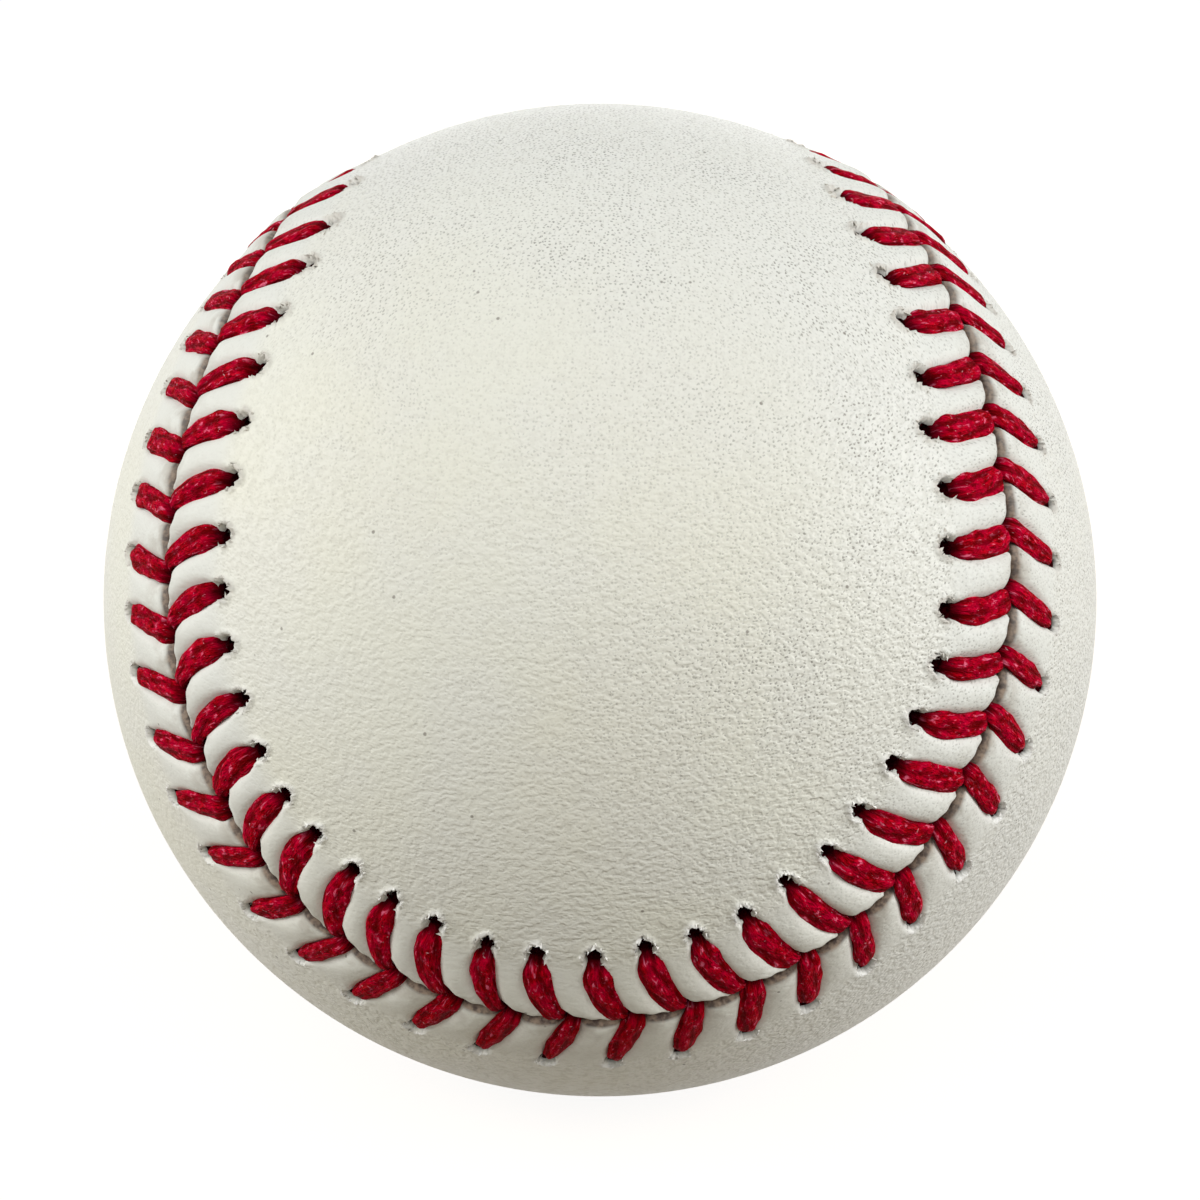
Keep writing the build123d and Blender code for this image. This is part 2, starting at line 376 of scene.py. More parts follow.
def hole_and_lip(panel, off_leg, half_width, off_hole, past_hole, torn):
    """Masks of the pit and of its lips.

    The pit is a rounded diamond: powers of the two distances from the hole, added and rooted. The lip
    is a bell curve just outside its rim, higher away from the seam; side lips are bell curves beside
    the leg.
    """
    across_pit = np.abs(off_hole / PIT_HALF_WIDTH[panel]) ** PIT_ROUNDNESS
    along_pit = np.abs(past_hole / PIT_HALF_LENGTH[panel]) ** PIT_ROUNDNESS
    rim = (across_pit + along_pit) ** (1 / PIT_ROUNDNESS)
    hole = 1 - smooth_step(*PIT_RIM_SHARES, rim + RIM_TEAR_SHARE * torn)
    outer_side = smooth_step(*LIP_OUTER_RANGE, past_hole)
    lip_width = LIP_WIDTH_SHARES[0] + LIP_WIDTH_SHARES[1] * smooth_step(*LIP_WIDER_RANGE, off_hole)
    lip = np.exp(-(((rim - LIP_RIM_SHARE) / lip_width) ** 2))
    lip = lip * (LIP_NEAR_SHARE + (1 - LIP_NEAR_SHARE) * outer_side)
    beside = (np.abs(off_leg) - half_width - SIDE_LIP_OFFSET) / SIDE_LIP_WIDTH
    beside_hole = smooth_step(*SIDE_LIP_START, past_hole) * smooth_step(*SIDE_LIP_END, past_hole)
    return hole, np.maximum(lip, SIDE_LIP_SHARE * np.exp(-(beside ** 2)) * beside_hole)


def leather_height(panel, along, aside, torn):
    """Height over the ball, hole mask and lip mask: raise, dents and lips added, the pit taken off."""
    off_leg, share, half_width, off_hole, past_hole = nearest_leg(panel, along, aside)
    hole, lip = hole_and_lip(panel, off_leg, half_width, off_hole, past_hole, torn)
    lip_height = LIP_HEIGHT[panel] * (1 - SUNKEN_LIP_SHARE * sunken(along / PITCH))
    height = seam_raise(aside) + leg_dents(aside, off_leg, share, half_width)
    height = height - PIT_DEPTH[panel] * hole + lip_height * lip * (1 + LIP_TEAR_SHARE * torn)
    return height, hole, lip


print("pits", PIT_DEPTH / MM, "mm deep, lips", LIP_HEIGHT / MM, "mm high on the two panels")

# %% [markdown]
# ## The panel edges
# The two edges meet in a narrow dark gap. One edge lies over the other, and half round the seam they change
# places. The thread pulls the edges into scallops: just before each dip the edge jumps back, and it then
# runs out again towards the next. On one stretch both edges are drawn towards panel a, and on another the
# gap is nearly closed. A saw-tooth of three harmonics gives the scallops without a kink in the mesh.

# %% Edge of a panel
EDGE_GAP = 0.48 * MM
EDGE_OVERHANG = 0.06 * MM
EDGE_DRAWN = 0.40 * MM
DRAWN_BELL = (31, 9)
CLOSED_SHARE = 0.75
CLOSED_BELL = (60.5, 2.6)
OVER_PEAK = 40
SCALLOP_MEAN = 1.10 * MM
SCALLOP_CHANGE = 0.40 * MM
SCALLOP_PEAK = 32
SCALLOP_START = DIP_LEAD - 1.0 * MM
SCALLOP_MIDDLE_SHARE = 0.55


def edge_over(panel, along):
    """How far a panel's edge lies over the other: 1 over, -1 under, one slow turn along the seam."""
    return PANEL_SIGN[panel] * slow_wave(along / PITCH, OVER_PEAK, 1)


def edge_aside(panel, along):
    """Distance of a panel's edge from the seam line: a gap, a slow overhang and a saw-toothed scallop.

    The saw is three harmonics of the place between two dips; it is smaller on the edge that lies below.
    """
    drawn = EDGE_DRAWN * bell(along / PITCH, *DRAWN_BELL)
    over = edge_over(panel, along)
    phase = 2 * np.pi * (along - stitch_creep(along / PITCH) - SCALLOP_START) / PITCH
    saw = (np.sin(phase) + np.sin(2 * phase) / 2 + np.sin(3 * phase) / 3) / np.pi
    depth = SCALLOP_MEAN + SCALLOP_CHANGE * slow_wave(along / PITCH, SCALLOP_PEAK, 2)
    scallop = depth * saw * (SCALLOP_MIDDLE_SHARE + (1 - SCALLOP_MIDDLE_SHARE) * over)
    gap = EDGE_GAP * (1 - CLOSED_SHARE * bell(along / PITCH, *CLOSED_BELL))
    return gap - EDGE_OVERHANG * over + PANEL_SIGN[panel] * drawn + scallop


edge_shown = edge_aside(PANEL_A, table_along) / MM
print(f"edge of panel a runs {edge_shown.min():.2f} to {edge_shown.max():.2f} mm from the seam line")

# %% Rows of the grid along the edge
# The first row of a wall is its inset from the edge and the second its drop, from the bottom upwards
WALL_OVER = np.array([
    [0.60, 0.30, 0.10, 0.02, 0.00, 0.04, 0.13, 0.28, 0.45],
    [1.27, 1.20, 0.95, 0.65, 0.40, 0.19, 0.07, 0.015, 0.0],
]) * MM
WALL_UNDER = np.array([
    [0.50, 0.20, 0.05, 0.00, 0.02, 0.12, 0.26, 0.44, 0.66],
    [1.27, 1.20, 0.95, 0.62, 0.40, 0.26, 0.14, 0.04, 0.0],
]) * MM
NEAR_INSETS = np.linspace(0.95, 4.6, 11)
HOLE_INSETS = np.linspace(4.82, 7.55, 15)
FAR_INSETS = np.linspace(7.9, 9.0, 3)
top_inset = np.concatenate([NEAR_INSETS, HOLE_INSETS, FAR_INSETS]) * MM
COLUMNS_PER_STITCH = 20
COARSE_STEP = 4
COLUMN_COUNT = STITCH_COUNT * COLUMNS_PER_STITCH
COARSE_COUNT = COLUMN_COUNT // COARSE_STEP


def edge_rows(panel, along):
    """Inset and drop of each row: a rounded wall on the edge that lies over, a raw slope on the one under."""
    under = 0.5 - 0.5 * edge_over(panel, along)
    wall = WALL_OVER[:, :, None] * (1 - under) + WALL_UNDER[:, :, None] * under
    flat = np.broadcast_to(top_inset[:, None], (len(top_inset), len(along)))
    inset = np.concatenate([wall[0], flat])
    drop = np.concatenate([wall[1], np.zeros(flat.shape)])
    return inset, drop, under


print("border grid", WALL_OVER.shape[1] + len(top_inset), "rows by", COLUMN_COUNT, "columns")

# %% Border of a panel: its points and its masks
EDGE_LIFT = 0.10 * MM
EDGE_LIFT_REACH = 1.8 * MM
SCALLOP_REACH = 1.7 * MM
TAUT_RANGE = (4.6 * MM, 6.8 * MM)
RAW_DROP_RANGE = (0.10 * MM, 0.45 * MM)
RAW_SLOPE_REACH = 0.40 * MM
GAP_TINT_SHARE = (0.4, 1.0)
GAP_TINT_REACH = 1.5 * MM
TORN_SEED = 21


def panel_border(panel, along):
    """Points of the fine rows along the edge, their distance aside and their masks.

    The scallop of the edge dies away inwards as a bell curve of the inset, and the edge that lies over
    is lifted. The masks say where the leather is drawn taut, holed, torn, raw and tinted along the gap.
    """
    inset, drop, under = edge_rows(panel, along)
    torn = np.random.default_rng(TORN_SEED + panel).normal(0, 1, inset.shape)
    scallop = edge_aside(panel, along) - EDGE_GAP
    aside = inset + EDGE_GAP + scallop * np.exp(-((inset / SCALLOP_REACH) ** 2))
    along_grid = np.broadcast_to(along, aside.shape)
    height, hole, lip = leather_height(panel, along_grid, aside, torn)
    height = height + EDGE_LIFT * edge_over(panel, along) * np.exp(-((aside / EDGE_LIFT_REACH) ** 2))
    radius = BALL_RADIUS + height - drop
    points = cover_direction(along_grid, PANEL_SIGN[panel] * aside) * radius[..., None]
    raw_slope = under * np.exp(-((inset / RAW_SLOPE_REACH) ** 6))
    masks = {
        "taut": 1 - smooth_step(*TAUT_RANGE, aside),
        "hole": hole,
        "torn_lip": lip,
        "raw_edge": np.maximum(smooth_step(*RAW_DROP_RANGE, drop), raw_slope),
        "gap_tint": GAP_TINT_SHARE[panel] * np.exp(-((inset / GAP_TINT_REACH) ** 2)),
    }
    return points, aside, masks


print(f"leather is taut up to {TAUT_RANGE[1] / MM:.1f} mm from the seam line")

# %% [markdown]
# ## Torn fibres
# Round the outer half of each hole stand a few pale fibres of torn leather. A hair system would scatter them
# anywhere, and they have to stand on the rims, so each is a thin three-sided spike with its foot on the rim
# and its tip thrown out by a seeded amount.

# %% Fibres round the holes
FIBRE_SEED = 63
FIBRES_PER_HOLE = 11
FIBRE_CORNERS = np.array([[0, 1, 3], [1, 2, 3], [2, 0, 3], [0, 2, 1]])
FIBRE_SIZE = np.array([1.0, 0.6]) * MM
FIBRE_ARC = 2.0
FIBRE_ARC_SLIP = 0.14
FIBRE_RIM_SHARE = 1.06
FIBRE_RIM_SLIP = 0.06
FIBRE_FOOT_SHARES = (0.09, 0.20)
FIBRE_FOOT_STRETCH = 1.8
FIBRE_FOOT_DROP = -0.10 * MM
FIBRE_FLOOR = -0.12 * MM
THROW_ALONG = (0, 0.20)
THROW_ASIDE = (-0.06, 0.18)
TIP_STAND_SHARES = (0.05, 0.16)
SUNKEN_TIP_DROP = 0.20 * MM


def torn_fibres(panel):
    """Corners and faces of the fibres: a three-cornered foot on the rim and a tip thrown out from it.

    A foot stands at an angle round the outer half of the hole; its corners and its tip are offsets
    along and aside, and faces that come out inside out are turned round.
    """
    seeded = np.random.default_rng(FIBRE_SEED + panel)
    shape = (STITCH_COUNT, FIBRES_PER_HOLE)
    size = FIBRE_SIZE[panel]
    angle = np.linspace(-FIBRE_ARC, FIBRE_ARC, FIBRES_PER_HOLE) + seeded.normal(0, FIBRE_ARC_SLIP, shape)
    reach = FIBRE_RIM_SHARE + seeded.normal(0, FIBRE_RIM_SLIP, shape)
    half_foot = seeded.uniform(*FIBRE_FOOT_SHARES, shape) * size
    throw_along = seeded.normal(*THROW_ALONG, shape) * size
    throw_aside = seeded.normal(*THROW_ASIDE, shape) * size
    foot_along = hole_along[panel][:, None] + PIT_HALF_WIDTH[panel] * reach * np.sin(angle)
    foot_aside = hole_aside[panel][:, None] + PIT_HALF_LENGTH[panel] * reach * np.cos(angle)
    ahead = half_foot * np.cos(angle)
    beside = half_foot * np.sin(angle)
    along = foot_along[..., None] + np.stack([-ahead, ahead, FIBRE_FOOT_STRETCH * beside, throw_along], -1)
    aside = foot_aside[..., None] + np.stack([beside, -beside, FIBRE_FOOT_STRETCH * ahead, throw_aside], -1)
    height, _, _ = leather_height(panel, along, aside, np.zeros(along.shape))
    tip_stand = seeded.uniform(*TIP_STAND_SHARES, shape) * size
    tip_stand = tip_stand - SUNKEN_TIP_DROP * sunken(stitch_number)[:, None]
    stands = np.concatenate([np.full(shape + (3,), FIBRE_FOOT_DROP), tip_stand[..., None]], -1)
    height = np.maximum(height, seam_raise(aside) + FIBRE_FLOOR) + stands
    points = cover_direction(along, PANEL_SIGN[panel] * aside) * (BALL_RADIUS + height)[..., None]
    corners = points.reshape(-1, 4, 3)
    edges = corners[:, 1:] - corners[:, :1]
    inside_out = np.einsum("ij,ij->i", np.cross(edges[:, 0], edges[:, 1]), edges[:, 2]) < 0
    faces = np.arange(len(corners))[:, None, None] * 4 + FIBRE_CORNERS
    faces = np.where(inside_out[:, None, None], faces[:, :, ::-1], faces)
    return corners.reshape(-1, 3), faces.reshape(-1, 3)


print(STITCH_COUNT * FIBRES_PER_HOLE, "fibres on each panel")

# %% [markdown]
# ## Closing the panel
# Away from the lacing the leather is a plain piece of the ball. Each edge point is joined to a point on
# the panel's spine, the great circle along its middle. Mirror columns meet there, so they share points.
# The inside of the panel is closed in the same way, one wall thickness lower. A filled hole in the mesh
# would give long thin faces; this keeps the rows even.

# %% Rows between the border and the spine
SPINE_REACH = math.radians(118)
OUTER_ROWS = 12
INNER_ASIDE = np.array([1.5, 3.5, 5.5, 7.5, 9.5]) * MM
INNER_ROWS = 6
INNER_RADIUS = BALL_RADIUS - COVER_WALL


def spine_direction(panel, along):
    """Spine point of an edge point: its angle along the middle great circle, eased by a quarter sine wave."""
    waist = np.array([0, 0, PANEL_SIGN[panel]])
    lobe = np.array([1, -PANEL_SIGN[panel], 0]) / math.sqrt(2)
    edge, _ = seam_axes(along)
    angle = np.arctan2(edge @ lobe, edge @ waist)
    sweep = SPINE_REACH * np.sin(np.pi / 2 * angle / np.abs(angle).max())
    return np.cos(sweep)[:, None] * waist + np.sin(sweep)[:, None] * lobe


def great_circle_rows(start, end, row_count):
    """Rows between two rows of directions, evenly by angle along the great circle that joins each pair."""
    angle = np.arccos(np.clip((start * end).sum(-1), -1, 1))[None, :, None]
    part = (np.arange(1, row_count) / row_count)[:, None, None]
    return (np.sin((1 - part) * angle) * start + np.sin(part * angle) * end) / np.sin(angle)


def inner_wall(panel, along, spine):
    """Rows of the panel's inside: a few at set distances aside from the seam, the rest out to the spine."""
    shape = (len(INNER_ASIDE), len(along))
    inner_aside = np.broadcast_to(PANEL_SIGN[panel] * INNER_ASIDE[:, None], shape)
    edge = cover_direction(np.broadcast_to(along, shape), inner_aside)
    return np.concatenate([edge, great_circle_rows(edge[-1], spine, INNER_ROWS)]) * INNER_RADIUS


def ring_quads(lower, upper):
    """Quads between two closed rows of point numbers."""
    return np.stack([lower, np.roll(lower, -1), np.roll(upper, -1), upper], axis=1)


def row_quads(rows):
    """Quads between each two neighbours of a block of closed rows."""
    return np.concatenate([ring_quads(low, high) for low, high in zip(rows, rows[1:])])


def ring_steps(fine, coarse):
    """Faces of seven corners between a fine closed row and a coarse one with a quarter of its points."""
    first = np.arange(COARSE_COUNT) * COARSE_STEP
    corners = [fine[(first + step) % len(fine)] for step in range(COARSE_STEP + 1)]
    return np.stack(corners + [np.roll(coarse, -1), coarse], axis=1)


print("coarse rows of", COARSE_COUNT, "points:", OUTER_ROWS, "outside and", INNER_ROWS, "inside")

# %% One closed panel as vertices, faces and masks
FRAYED_MASKS = ("taut", "torn_lip")


def panel_mesh(panel):
    """Vertices, faces and point masks of one panel: fine border, coarse middle, spine and inner wall.

    A spine point is shared by the two columns whose numbers add up to the panel's mirror turn.
    """
    sign = PANEL_SIGN[panel]
    along = np.arange(COLUMN_COUNT) * PITCH / COLUMNS_PER_STITCH
    coarse_along = along[::COARSE_STEP]
    border, aside, border_masks = panel_border(panel, along)
    spine = spine_direction(panel, coarse_along)
    last_row = cover_direction(coarse_along, sign * aside[-1, ::COARSE_STEP])
    outer = great_circle_rows(last_row, spine, OUTER_ROWS) * BALL_RADIUS
    inner = inner_wall(panel, coarse_along, spine)
    blocks = [border, outer, spine[None] * BALL_RADIUS, inner, spine[None] * INNER_RADIUS]
    starts = np.cumsum([0] + [block.size // 3 for block in blocks])
    border_rows, outer_rows, outer_spine, inner_rows, inner_spine = [
        start + np.arange(block.size // 3).reshape(block.shape[:2]) for start, block in zip(starts, blocks)
    ]
    column = np.arange(COARSE_COUNT)
    mirror_turn = (STITCH_COUNT // 2 + sign * STITCH_COUNT // 4) * COLUMNS_PER_STITCH // COARSE_STEP
    shared = np.minimum(column, (mirror_turn - column) % COARSE_COUNT)
    quads = np.concatenate([
        row_quads(border_rows),
        row_quads(outer_rows),
        ring_quads(outer_rows[-1], outer_spine[0][shared]),
        row_quads(inner_rows)[:, ::-1],
        ring_quads(inner_spine[0][shared], inner_rows[-1]),
    ])
    outer_steps = ring_steps(border_rows[-1], outer_rows[0])
    inner_steps = ring_steps(border_rows[0], inner_rows[0])[:, ::-1]
    steps = np.concatenate([outer_steps, inner_steps])
    fibre_points, fibre_faces = torn_fibres(panel)
    faces = [quads[:, ::sign], steps[:, ::sign], fibre_faces + starts[-1]]
    points = np.concatenate([block.reshape(-1, 3) for block in blocks] + [fibre_points])
    plain = np.zeros(starts[-1] - border.size // 3)
    masks = {}
    for name, values in border_masks.items():
        frayed = np.full(len(fibre_points), float(name in FRAYED_MASKS))
        masks[name] = np.concatenate([values.ravel(), plain, frayed])
    return points @ SEAM_TO_BALL.T, faces, masks


# %% A mesh object from whole arrays, and the two panels
def mesh_piece(name, points, faces, masks, loop_uv=None):
    """A mesh object at the origin from whole arrays, with its point masks and, if given, its UV map.

    Faces come as arrays, one per number of corners. All are smooth but the small three-cornered ones, and
    points that no face uses are dropped.
    """
    used = np.unique(np.concatenate([block.ravel() for block in faces]))
    renumbered = np.zeros(len(points), int)
    renumbered[used] = np.arange(len(used))
    mesh = bpy.data.meshes.new(name)
    face_lists = [corners for block in faces for corners in renumbered[block].tolist()]
    mesh.from_pydata(points[used].tolist(), [], face_lists)
    for mask_name, values in masks.items():
        layer = mesh.attributes.new(mask_name, "FLOAT", "POINT")
        layer.data.foreach_set("value", np.asarray(values, np.float32)[used])
    if loop_uv is not None:
        uv_layer = mesh.uv_layers.new(name="thread_map")
        uv_layer.uv.foreach_set("vector", np.asarray(loop_uv, np.float32).ravel())
    smooth = np.concatenate([np.full(len(block), block.shape[1] > 3) for block in faces])
    mesh.polygons.foreach_set("use_smooth", smooth)
    piece = bpy.data.objects.new(name, mesh)
    bpy.context.scene.collection.objects.link(piece)
    print(name, len(used), "points,", len(face_lists), "faces")
    return piece


cover_pieces = []
for panel, node in ((PANEL_A, "cover_panel_a"), (PANEL_B, "cover_panel_b")):
    piece = mesh_piece("leather_" + node[-7:], *panel_mesh(panel))
    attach(piece, "root")
    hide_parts(node)
    cover_pieces.append(piece)

# %% [markdown]
# ## Thread
# Each needle's thread comes up a hole, lies over the leather as a flat leaf, dips into the seam, runs under
# the other panel and comes up the next hole. A curve with a bevel has one profile all along, and this thread
# widens and flattens, so a profile of four soft plies is carried along the route instead. The route's bends
# are arcs: a station of the route is a plan distance, a height and an angle of climb.

# %% Stations of the legs
HOLE_BEND = np.array([0.95, 0.80]) * MM
DIP_BEND = np.array([0.80, 0.85]) * MM
NECK_BACK = np.array([0.82, 0.50]) * MM
NECK_DROP = 0.75 * MM
LEG_HEIGHT = 0.86 * MM
LEG_END_SHARE = 0.72
LEG_STANDS = 0.22 * MM
bend_angles = np.radians([90, 68, 45, 22, 0])
middle_shares = np.linspace(0.07, 0.93, 12)


def run_stations(panel, stitch):
    """Places, levels, climbs, oval sizes and falls at all stations of the legs on a panel.

    A bend of radius r at climb c has gone r (1 - sin c) onward and lies r (1 - cos c) below its level. The
    height of the oval swells with half a sine wave between its ends.
    """
    lead = dip_along[panel, stitch] - hole_along[panel, stitch]
    leg_length = np.hypot(lead, hole_aside[panel, stitch] + DIP_OVERSHOOT[panel])[:, None]
    start_bend, end_bend, neck = HOLE_BEND[panel], DIP_BEND[panel], NECK_BACK[panel]
    first_plan = neck + start_bend * (1 - np.sin(bend_angles))
    last_plan = leg_length - end_bend * (1 - np.sin(bend_angles[::-1]))
    low, high = neck + start_bend, leg_length - end_bend
    plan = np.concatenate([
        np.full(leg_length.shape, neck),
        np.broadcast_to(first_plan, (len(stitch), len(first_plan))),
        low + (high - low) * middle_shares,
        last_plan,
        leg_length,
    ], axis=1)
    flat = np.zeros(len(middle_shares))
    first_fall = start_bend * (1 - np.cos(bend_angles))
    last_fall = end_bend * (1 - np.cos(bend_angles[::-1]))
    fall = np.concatenate([[start_bend + NECK_DROP], first_fall, flat, last_fall, [end_bend + NECK_DROP]])
    climb = np.concatenate([[np.pi / 2], bend_angles, flat, -bend_angles[::-1], [-np.pi / 2]])
    share = plan / leg_length
    along, aside = leg_place(panel, stitch[:, None], share)
    width = leg_width(panel, stitch[:, None], share) * width_share[panel, stitch][:, None]
    crown = LEG_END_SHARE + (1 - LEG_END_SHARE) * np.sin(np.pi * share.clip(0, 1))
    thick = LEG_HEIGHT * height_share[panel, stitch][:, None] * crown
    level = seam_raise(aside) + LEG_STANDS - stitch_sink[stitch][:, None] - thick / 2 - fall
    climb, fall = [np.broadcast_to(row, along.shape) for row in (climb, fall)]
    return along, aside, level, climb, width, thick, fall


print("a leg has", 2 + 2 * len(bend_angles) + len(middle_shares), "stations")

# %% Stations below the leather
UNDER_DROP = 1.0 * MM
UNDER_SHARES = np.array([0.06, 0.3, 0.6, 0.9, 0.97, 1.0])
UNDER_LIFTS = np.array([0.1, 0, 0, 0, 0.25, 0.6]) * MM
UNDER_CLIMBS = np.radians([-30, 0, 0, 0, 45, 90])
UNDER_WIDTHS = np.array([1.2, 1.7, 1.8, 1.6, 1.2, 1.0]) * MM
UNDER_THICKNESSES = np.array([0.5, 0.42, 0.42, 0.42, 0.5, 0.9]) * MM


def under_stations(panel, stitch):
    """The same for the hidden run, at set shares of the way from the dip to the other panel's next hole."""
    other = 1 - panel
    after = (stitch + 1) % STITCH_COUNT
    laps = np.where(after < stitch, SEAM_LENGTH, 0)
    start_along = dip_along[panel, stitch][:, None]
    end_along = (hole_along[other, after] + laps)[:, None]
    along = start_along + UNDER_SHARES * (end_along - start_along)
    start_aside = DIP_OVERSHOOT[panel]
    aside = start_aside + UNDER_SHARES * (hole_aside[other, after][:, None] - start_aside)
    rows = (UNDER_LIFTS - UNDER_DROP, UNDER_CLIMBS, UNDER_WIDTHS, UNDER_THICKNESSES)
    level, climb, width, thick = [np.broadcast_to(row, along.shape) for row in rows]
    return along, -aside, level, climb, width, thick, np.full(along.shape, UNDER_DROP)


print("a hidden run has", len(UNDER_SHARES), "stations")

# %% [markdown]
# ## Carrying the profile
# At each station the profile stands square to the thread: its width lies across the run and along the
# cover, and its height points away from the leather. The plies turn slowly along the run, and slow lumps
# make each leg a little uneven. The UV map unrolls the thread, so that its finish can follow the fibres.

# %% Rings of points along the runs
RING_POINTS = 20
PLY_COUNT = 4
PLY_DEPTH = 0.12
PLY_TURNS = 0.6
LEG_LUMPS = ((2, 3.1 * MM, 0.04), (3, -2.3 * MM, 0.035), (5, 1.6 * MM, 0.03))
# Fall over which the thread's painted shade in a hole rises to full
HOLE_SHADE_DEPTH = 0.42 * MM
STATION_NUDGE = 0.02 * MM
LEAST_STEP = 1e-9
UV_RUN_SHIFT = 31.7
UV_PANEL_SHIFT = 5000
ring = np.arange(RING_POINTS) / RING_POINTS * 2 * np.pi - np.pi / 2


def run_axes(along, aside, climb, sign):
    """Outward, across and up directions at each station; up is outward leaned back by the climb."""
    outward = cover_direction(along, sign * aside)
    ahead_along, ahead_aside = np.gradient(along, axis=1), np.gradient(aside, axis=1)
    ahead_size = np.hypot(ahead_along, ahead_aside) + LEAST_STEP
    next_along = along + STATION_NUDGE * ahead_along / ahead_size
    next_aside = aside + STATION_NUDGE * ahead_aside / ahead_size
    across = np.cross(outward, cover_direction(next_along, sign * next_aside) - outward)
    across = across / np.linalg.norm(across, axis=-1, keepdims=True)
    heading = np.cross(across, outward)
    up = outward * np.cos(climb)[..., None] - heading * np.sin(climb)[..., None]
    return outward, across, up


def ply_swell(gone, phase):
    """Swelling of the oval round its ring: a cosine for the plies, turned along the run, and three lumps."""
    turn = 2 * np.pi * PLY_TURNS * gone / HOLE_INSET + phase
    ply = 1 + PLY_DEPTH * np.cos(PLY_COUNT * ring + turn[..., None])
    for waves, length, size in LEG_LUMPS:
        ply = ply + size * np.cos(waves * ring + (2 * np.pi * gone / length + waves * phase)[..., None])
    return ply


def run_rings(panel, start):
    """Points, lengths, depths and grooves of every second run that starts on a panel.

    A ring point is the middle, plus across by the width and a cosine, plus up by the height and a sine.
    """
    stitch = np.arange(start, STITCH_COUNT, 2)
    pairs = zip(run_stations(panel, stitch), under_stations(panel, stitch))
    along, aside, level, climb, width, thick, fall = [np.concatenate(pair, axis=1) for pair in pairs]
    outward, across, up = run_axes(along, aside, climb, PANEL_SIGN[panel])
    middle = outward * (BALL_RADIUS + level)[..., None]
    steps = np.linalg.norm(np.diff(middle, axis=1, prepend=middle[:, :1]), axis=-1)
    gone = np.cumsum(steps, axis=1)
    ply = ply_swell(gone, twist_phase[panel, stitch][:, None])
    x = (width / 2)[..., None] * np.cos(ring) * ply
    y = (thick / 2)[..., None] * np.sin(ring) * ply
    points = middle[:, :, None] + across[:, :, None] * x[..., None] + up[:, :, None] * y[..., None]
    length = gone / MM + UV_RUN_SHIFT * stitch[:, None] + UV_PANEL_SHIFT * start
    groove = (0.5 - 0.5 * (ply - 1) / PLY_DEPTH).clip(0, 1)
    return points, length, smooth_step(0.0, HOLE_SHADE_DEPTH, fall), groove


print(RING_POINTS, "points round the thread,", PLY_COUNT, "plies")

# %% One needle's thread as a single mesh
UV_GIRTH = 5.0


def thread_mesh(first_panel):
    """All runs of one needle, from the two panels in turn: quads between rings, masks and UV map.

    U is the length along the thread in millimetres, shifted from run to run, and V goes round it.
    """
    halves = (run_rings(first_panel, 0), run_rings(1 - first_panel, 1))
    points, length, depth, groove = [np.concatenate(pair) for pair in zip(*halves)]
    number = np.arange(points.size // 3).reshape(points.shape[:3])
    beside = np.roll(number, -1, axis=2)
    quads = np.stack([number[:, :-1], beside[:, :-1], beside[:, 1:], number[:, 1:]], axis=-1)
    shape = quads.shape[:3]
    here = np.broadcast_to(length[:, :-1, None], shape)
    there = np.broadcast_to(length[:, 1:, None], shape)
    left = np.broadcast_to(np.arange(RING_POINTS) * UV_GIRTH / RING_POINTS, shape)
    right = left + UV_GIRTH / RING_POINTS
    corners = ((here, left), (here, right), (there, right), (there, left))
    uv = np.stack([np.stack(corner, axis=-1) for corner in corners], axis=-2)
    masks = {"depth": np.repeat(depth.ravel(), RING_POINTS), "groove": groove.ravel()}
    return points.reshape(-1, 3) @ SEAM_TO_BALL.T, [quads.reshape(-1, 4)], masks, uv


thread_pieces = []
for first_panel, node in ((PANEL_A, "thread_first_needle"), (PANEL_B, "thread_second_needle")):
    piece = mesh_piece("lacing_" + node[7:], *thread_mesh(first_panel))
    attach(piece, "root")
    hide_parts(node)
    thread_pieces.append(piece)

# %% [markdown]
# ## Finishes
# Three effects come up again and again: a slow mottling of a colour, long fibre streaks, and the pores of
# leather. Painted images would do, but they need files. Each effect is a node group instead, built once and
# placed where it is needed. First come short helpers, because a node tree in plain code is long.

# %% Helpers for node trees
def add_node(tree, kind, inputs=None, **settings):
    """A node with its settings and its unlinked input values, given by name or number."""
    node = tree.nodes.new(kind)
    for key, value in settings.items():
        setattr(node, key, value)
    for key, value in (inputs or {}).items():
        node.inputs[key].default_value = value
    return node


def feed(tree, sockets, values):
    """Gives each input socket its value: a link where the value is a socket, and a plain value otherwise."""
    for socket, value in zip(sockets, values):
        if hasattr(value, "is_output"):
            tree.links.new(value, socket)
        else:
            socket.default_value = value


def new_group(name, inputs, outputs):
    """An empty shader group with named sockets; inputs and outputs are (name, kind, default) rows."""
    group = bpy.data.node_groups.new(name, "ShaderNodeTree")
    for title, kind, default in inputs:
        socket = group.interface.new_socket(title, in_out="INPUT", socket_type="NodeSocket" + kind)
        if default is not None:
            socket.default_value = default
    for title, kind, _ in outputs:
        group.interface.new_socket(title, in_out="OUTPUT", socket_type="NodeSocket" + kind)
    return group, group.nodes.new("NodeGroupInput"), group.nodes.new("NodeGroupOutput")


def colour_mix(tree, share, first, second):
    """A colour mix whose three inputs are sockets or plain values; returns the mixed colour's socket."""
    mix = add_node(tree, "ShaderNodeMix", data_type="RGBA")
    feed(tree, (mix.inputs[0], mix.inputs[6], mix.inputs[7]), (share, first, second))
    return mix.outputs[2]


def maths(tree, operation, *values):
    """A maths node on sockets or numbers; returns its value's socket."""
    node = add_node(tree, "ShaderNodeMath", operation=operation)
    feed(tree, node.inputs, values)
    return node.outputs[0]


def times(tree, *values):
    """The product of sockets or numbers."""
    product = values[0]
    for value in values[1:]:
        product = maths(tree, "MULTIPLY", product, value)
    return product


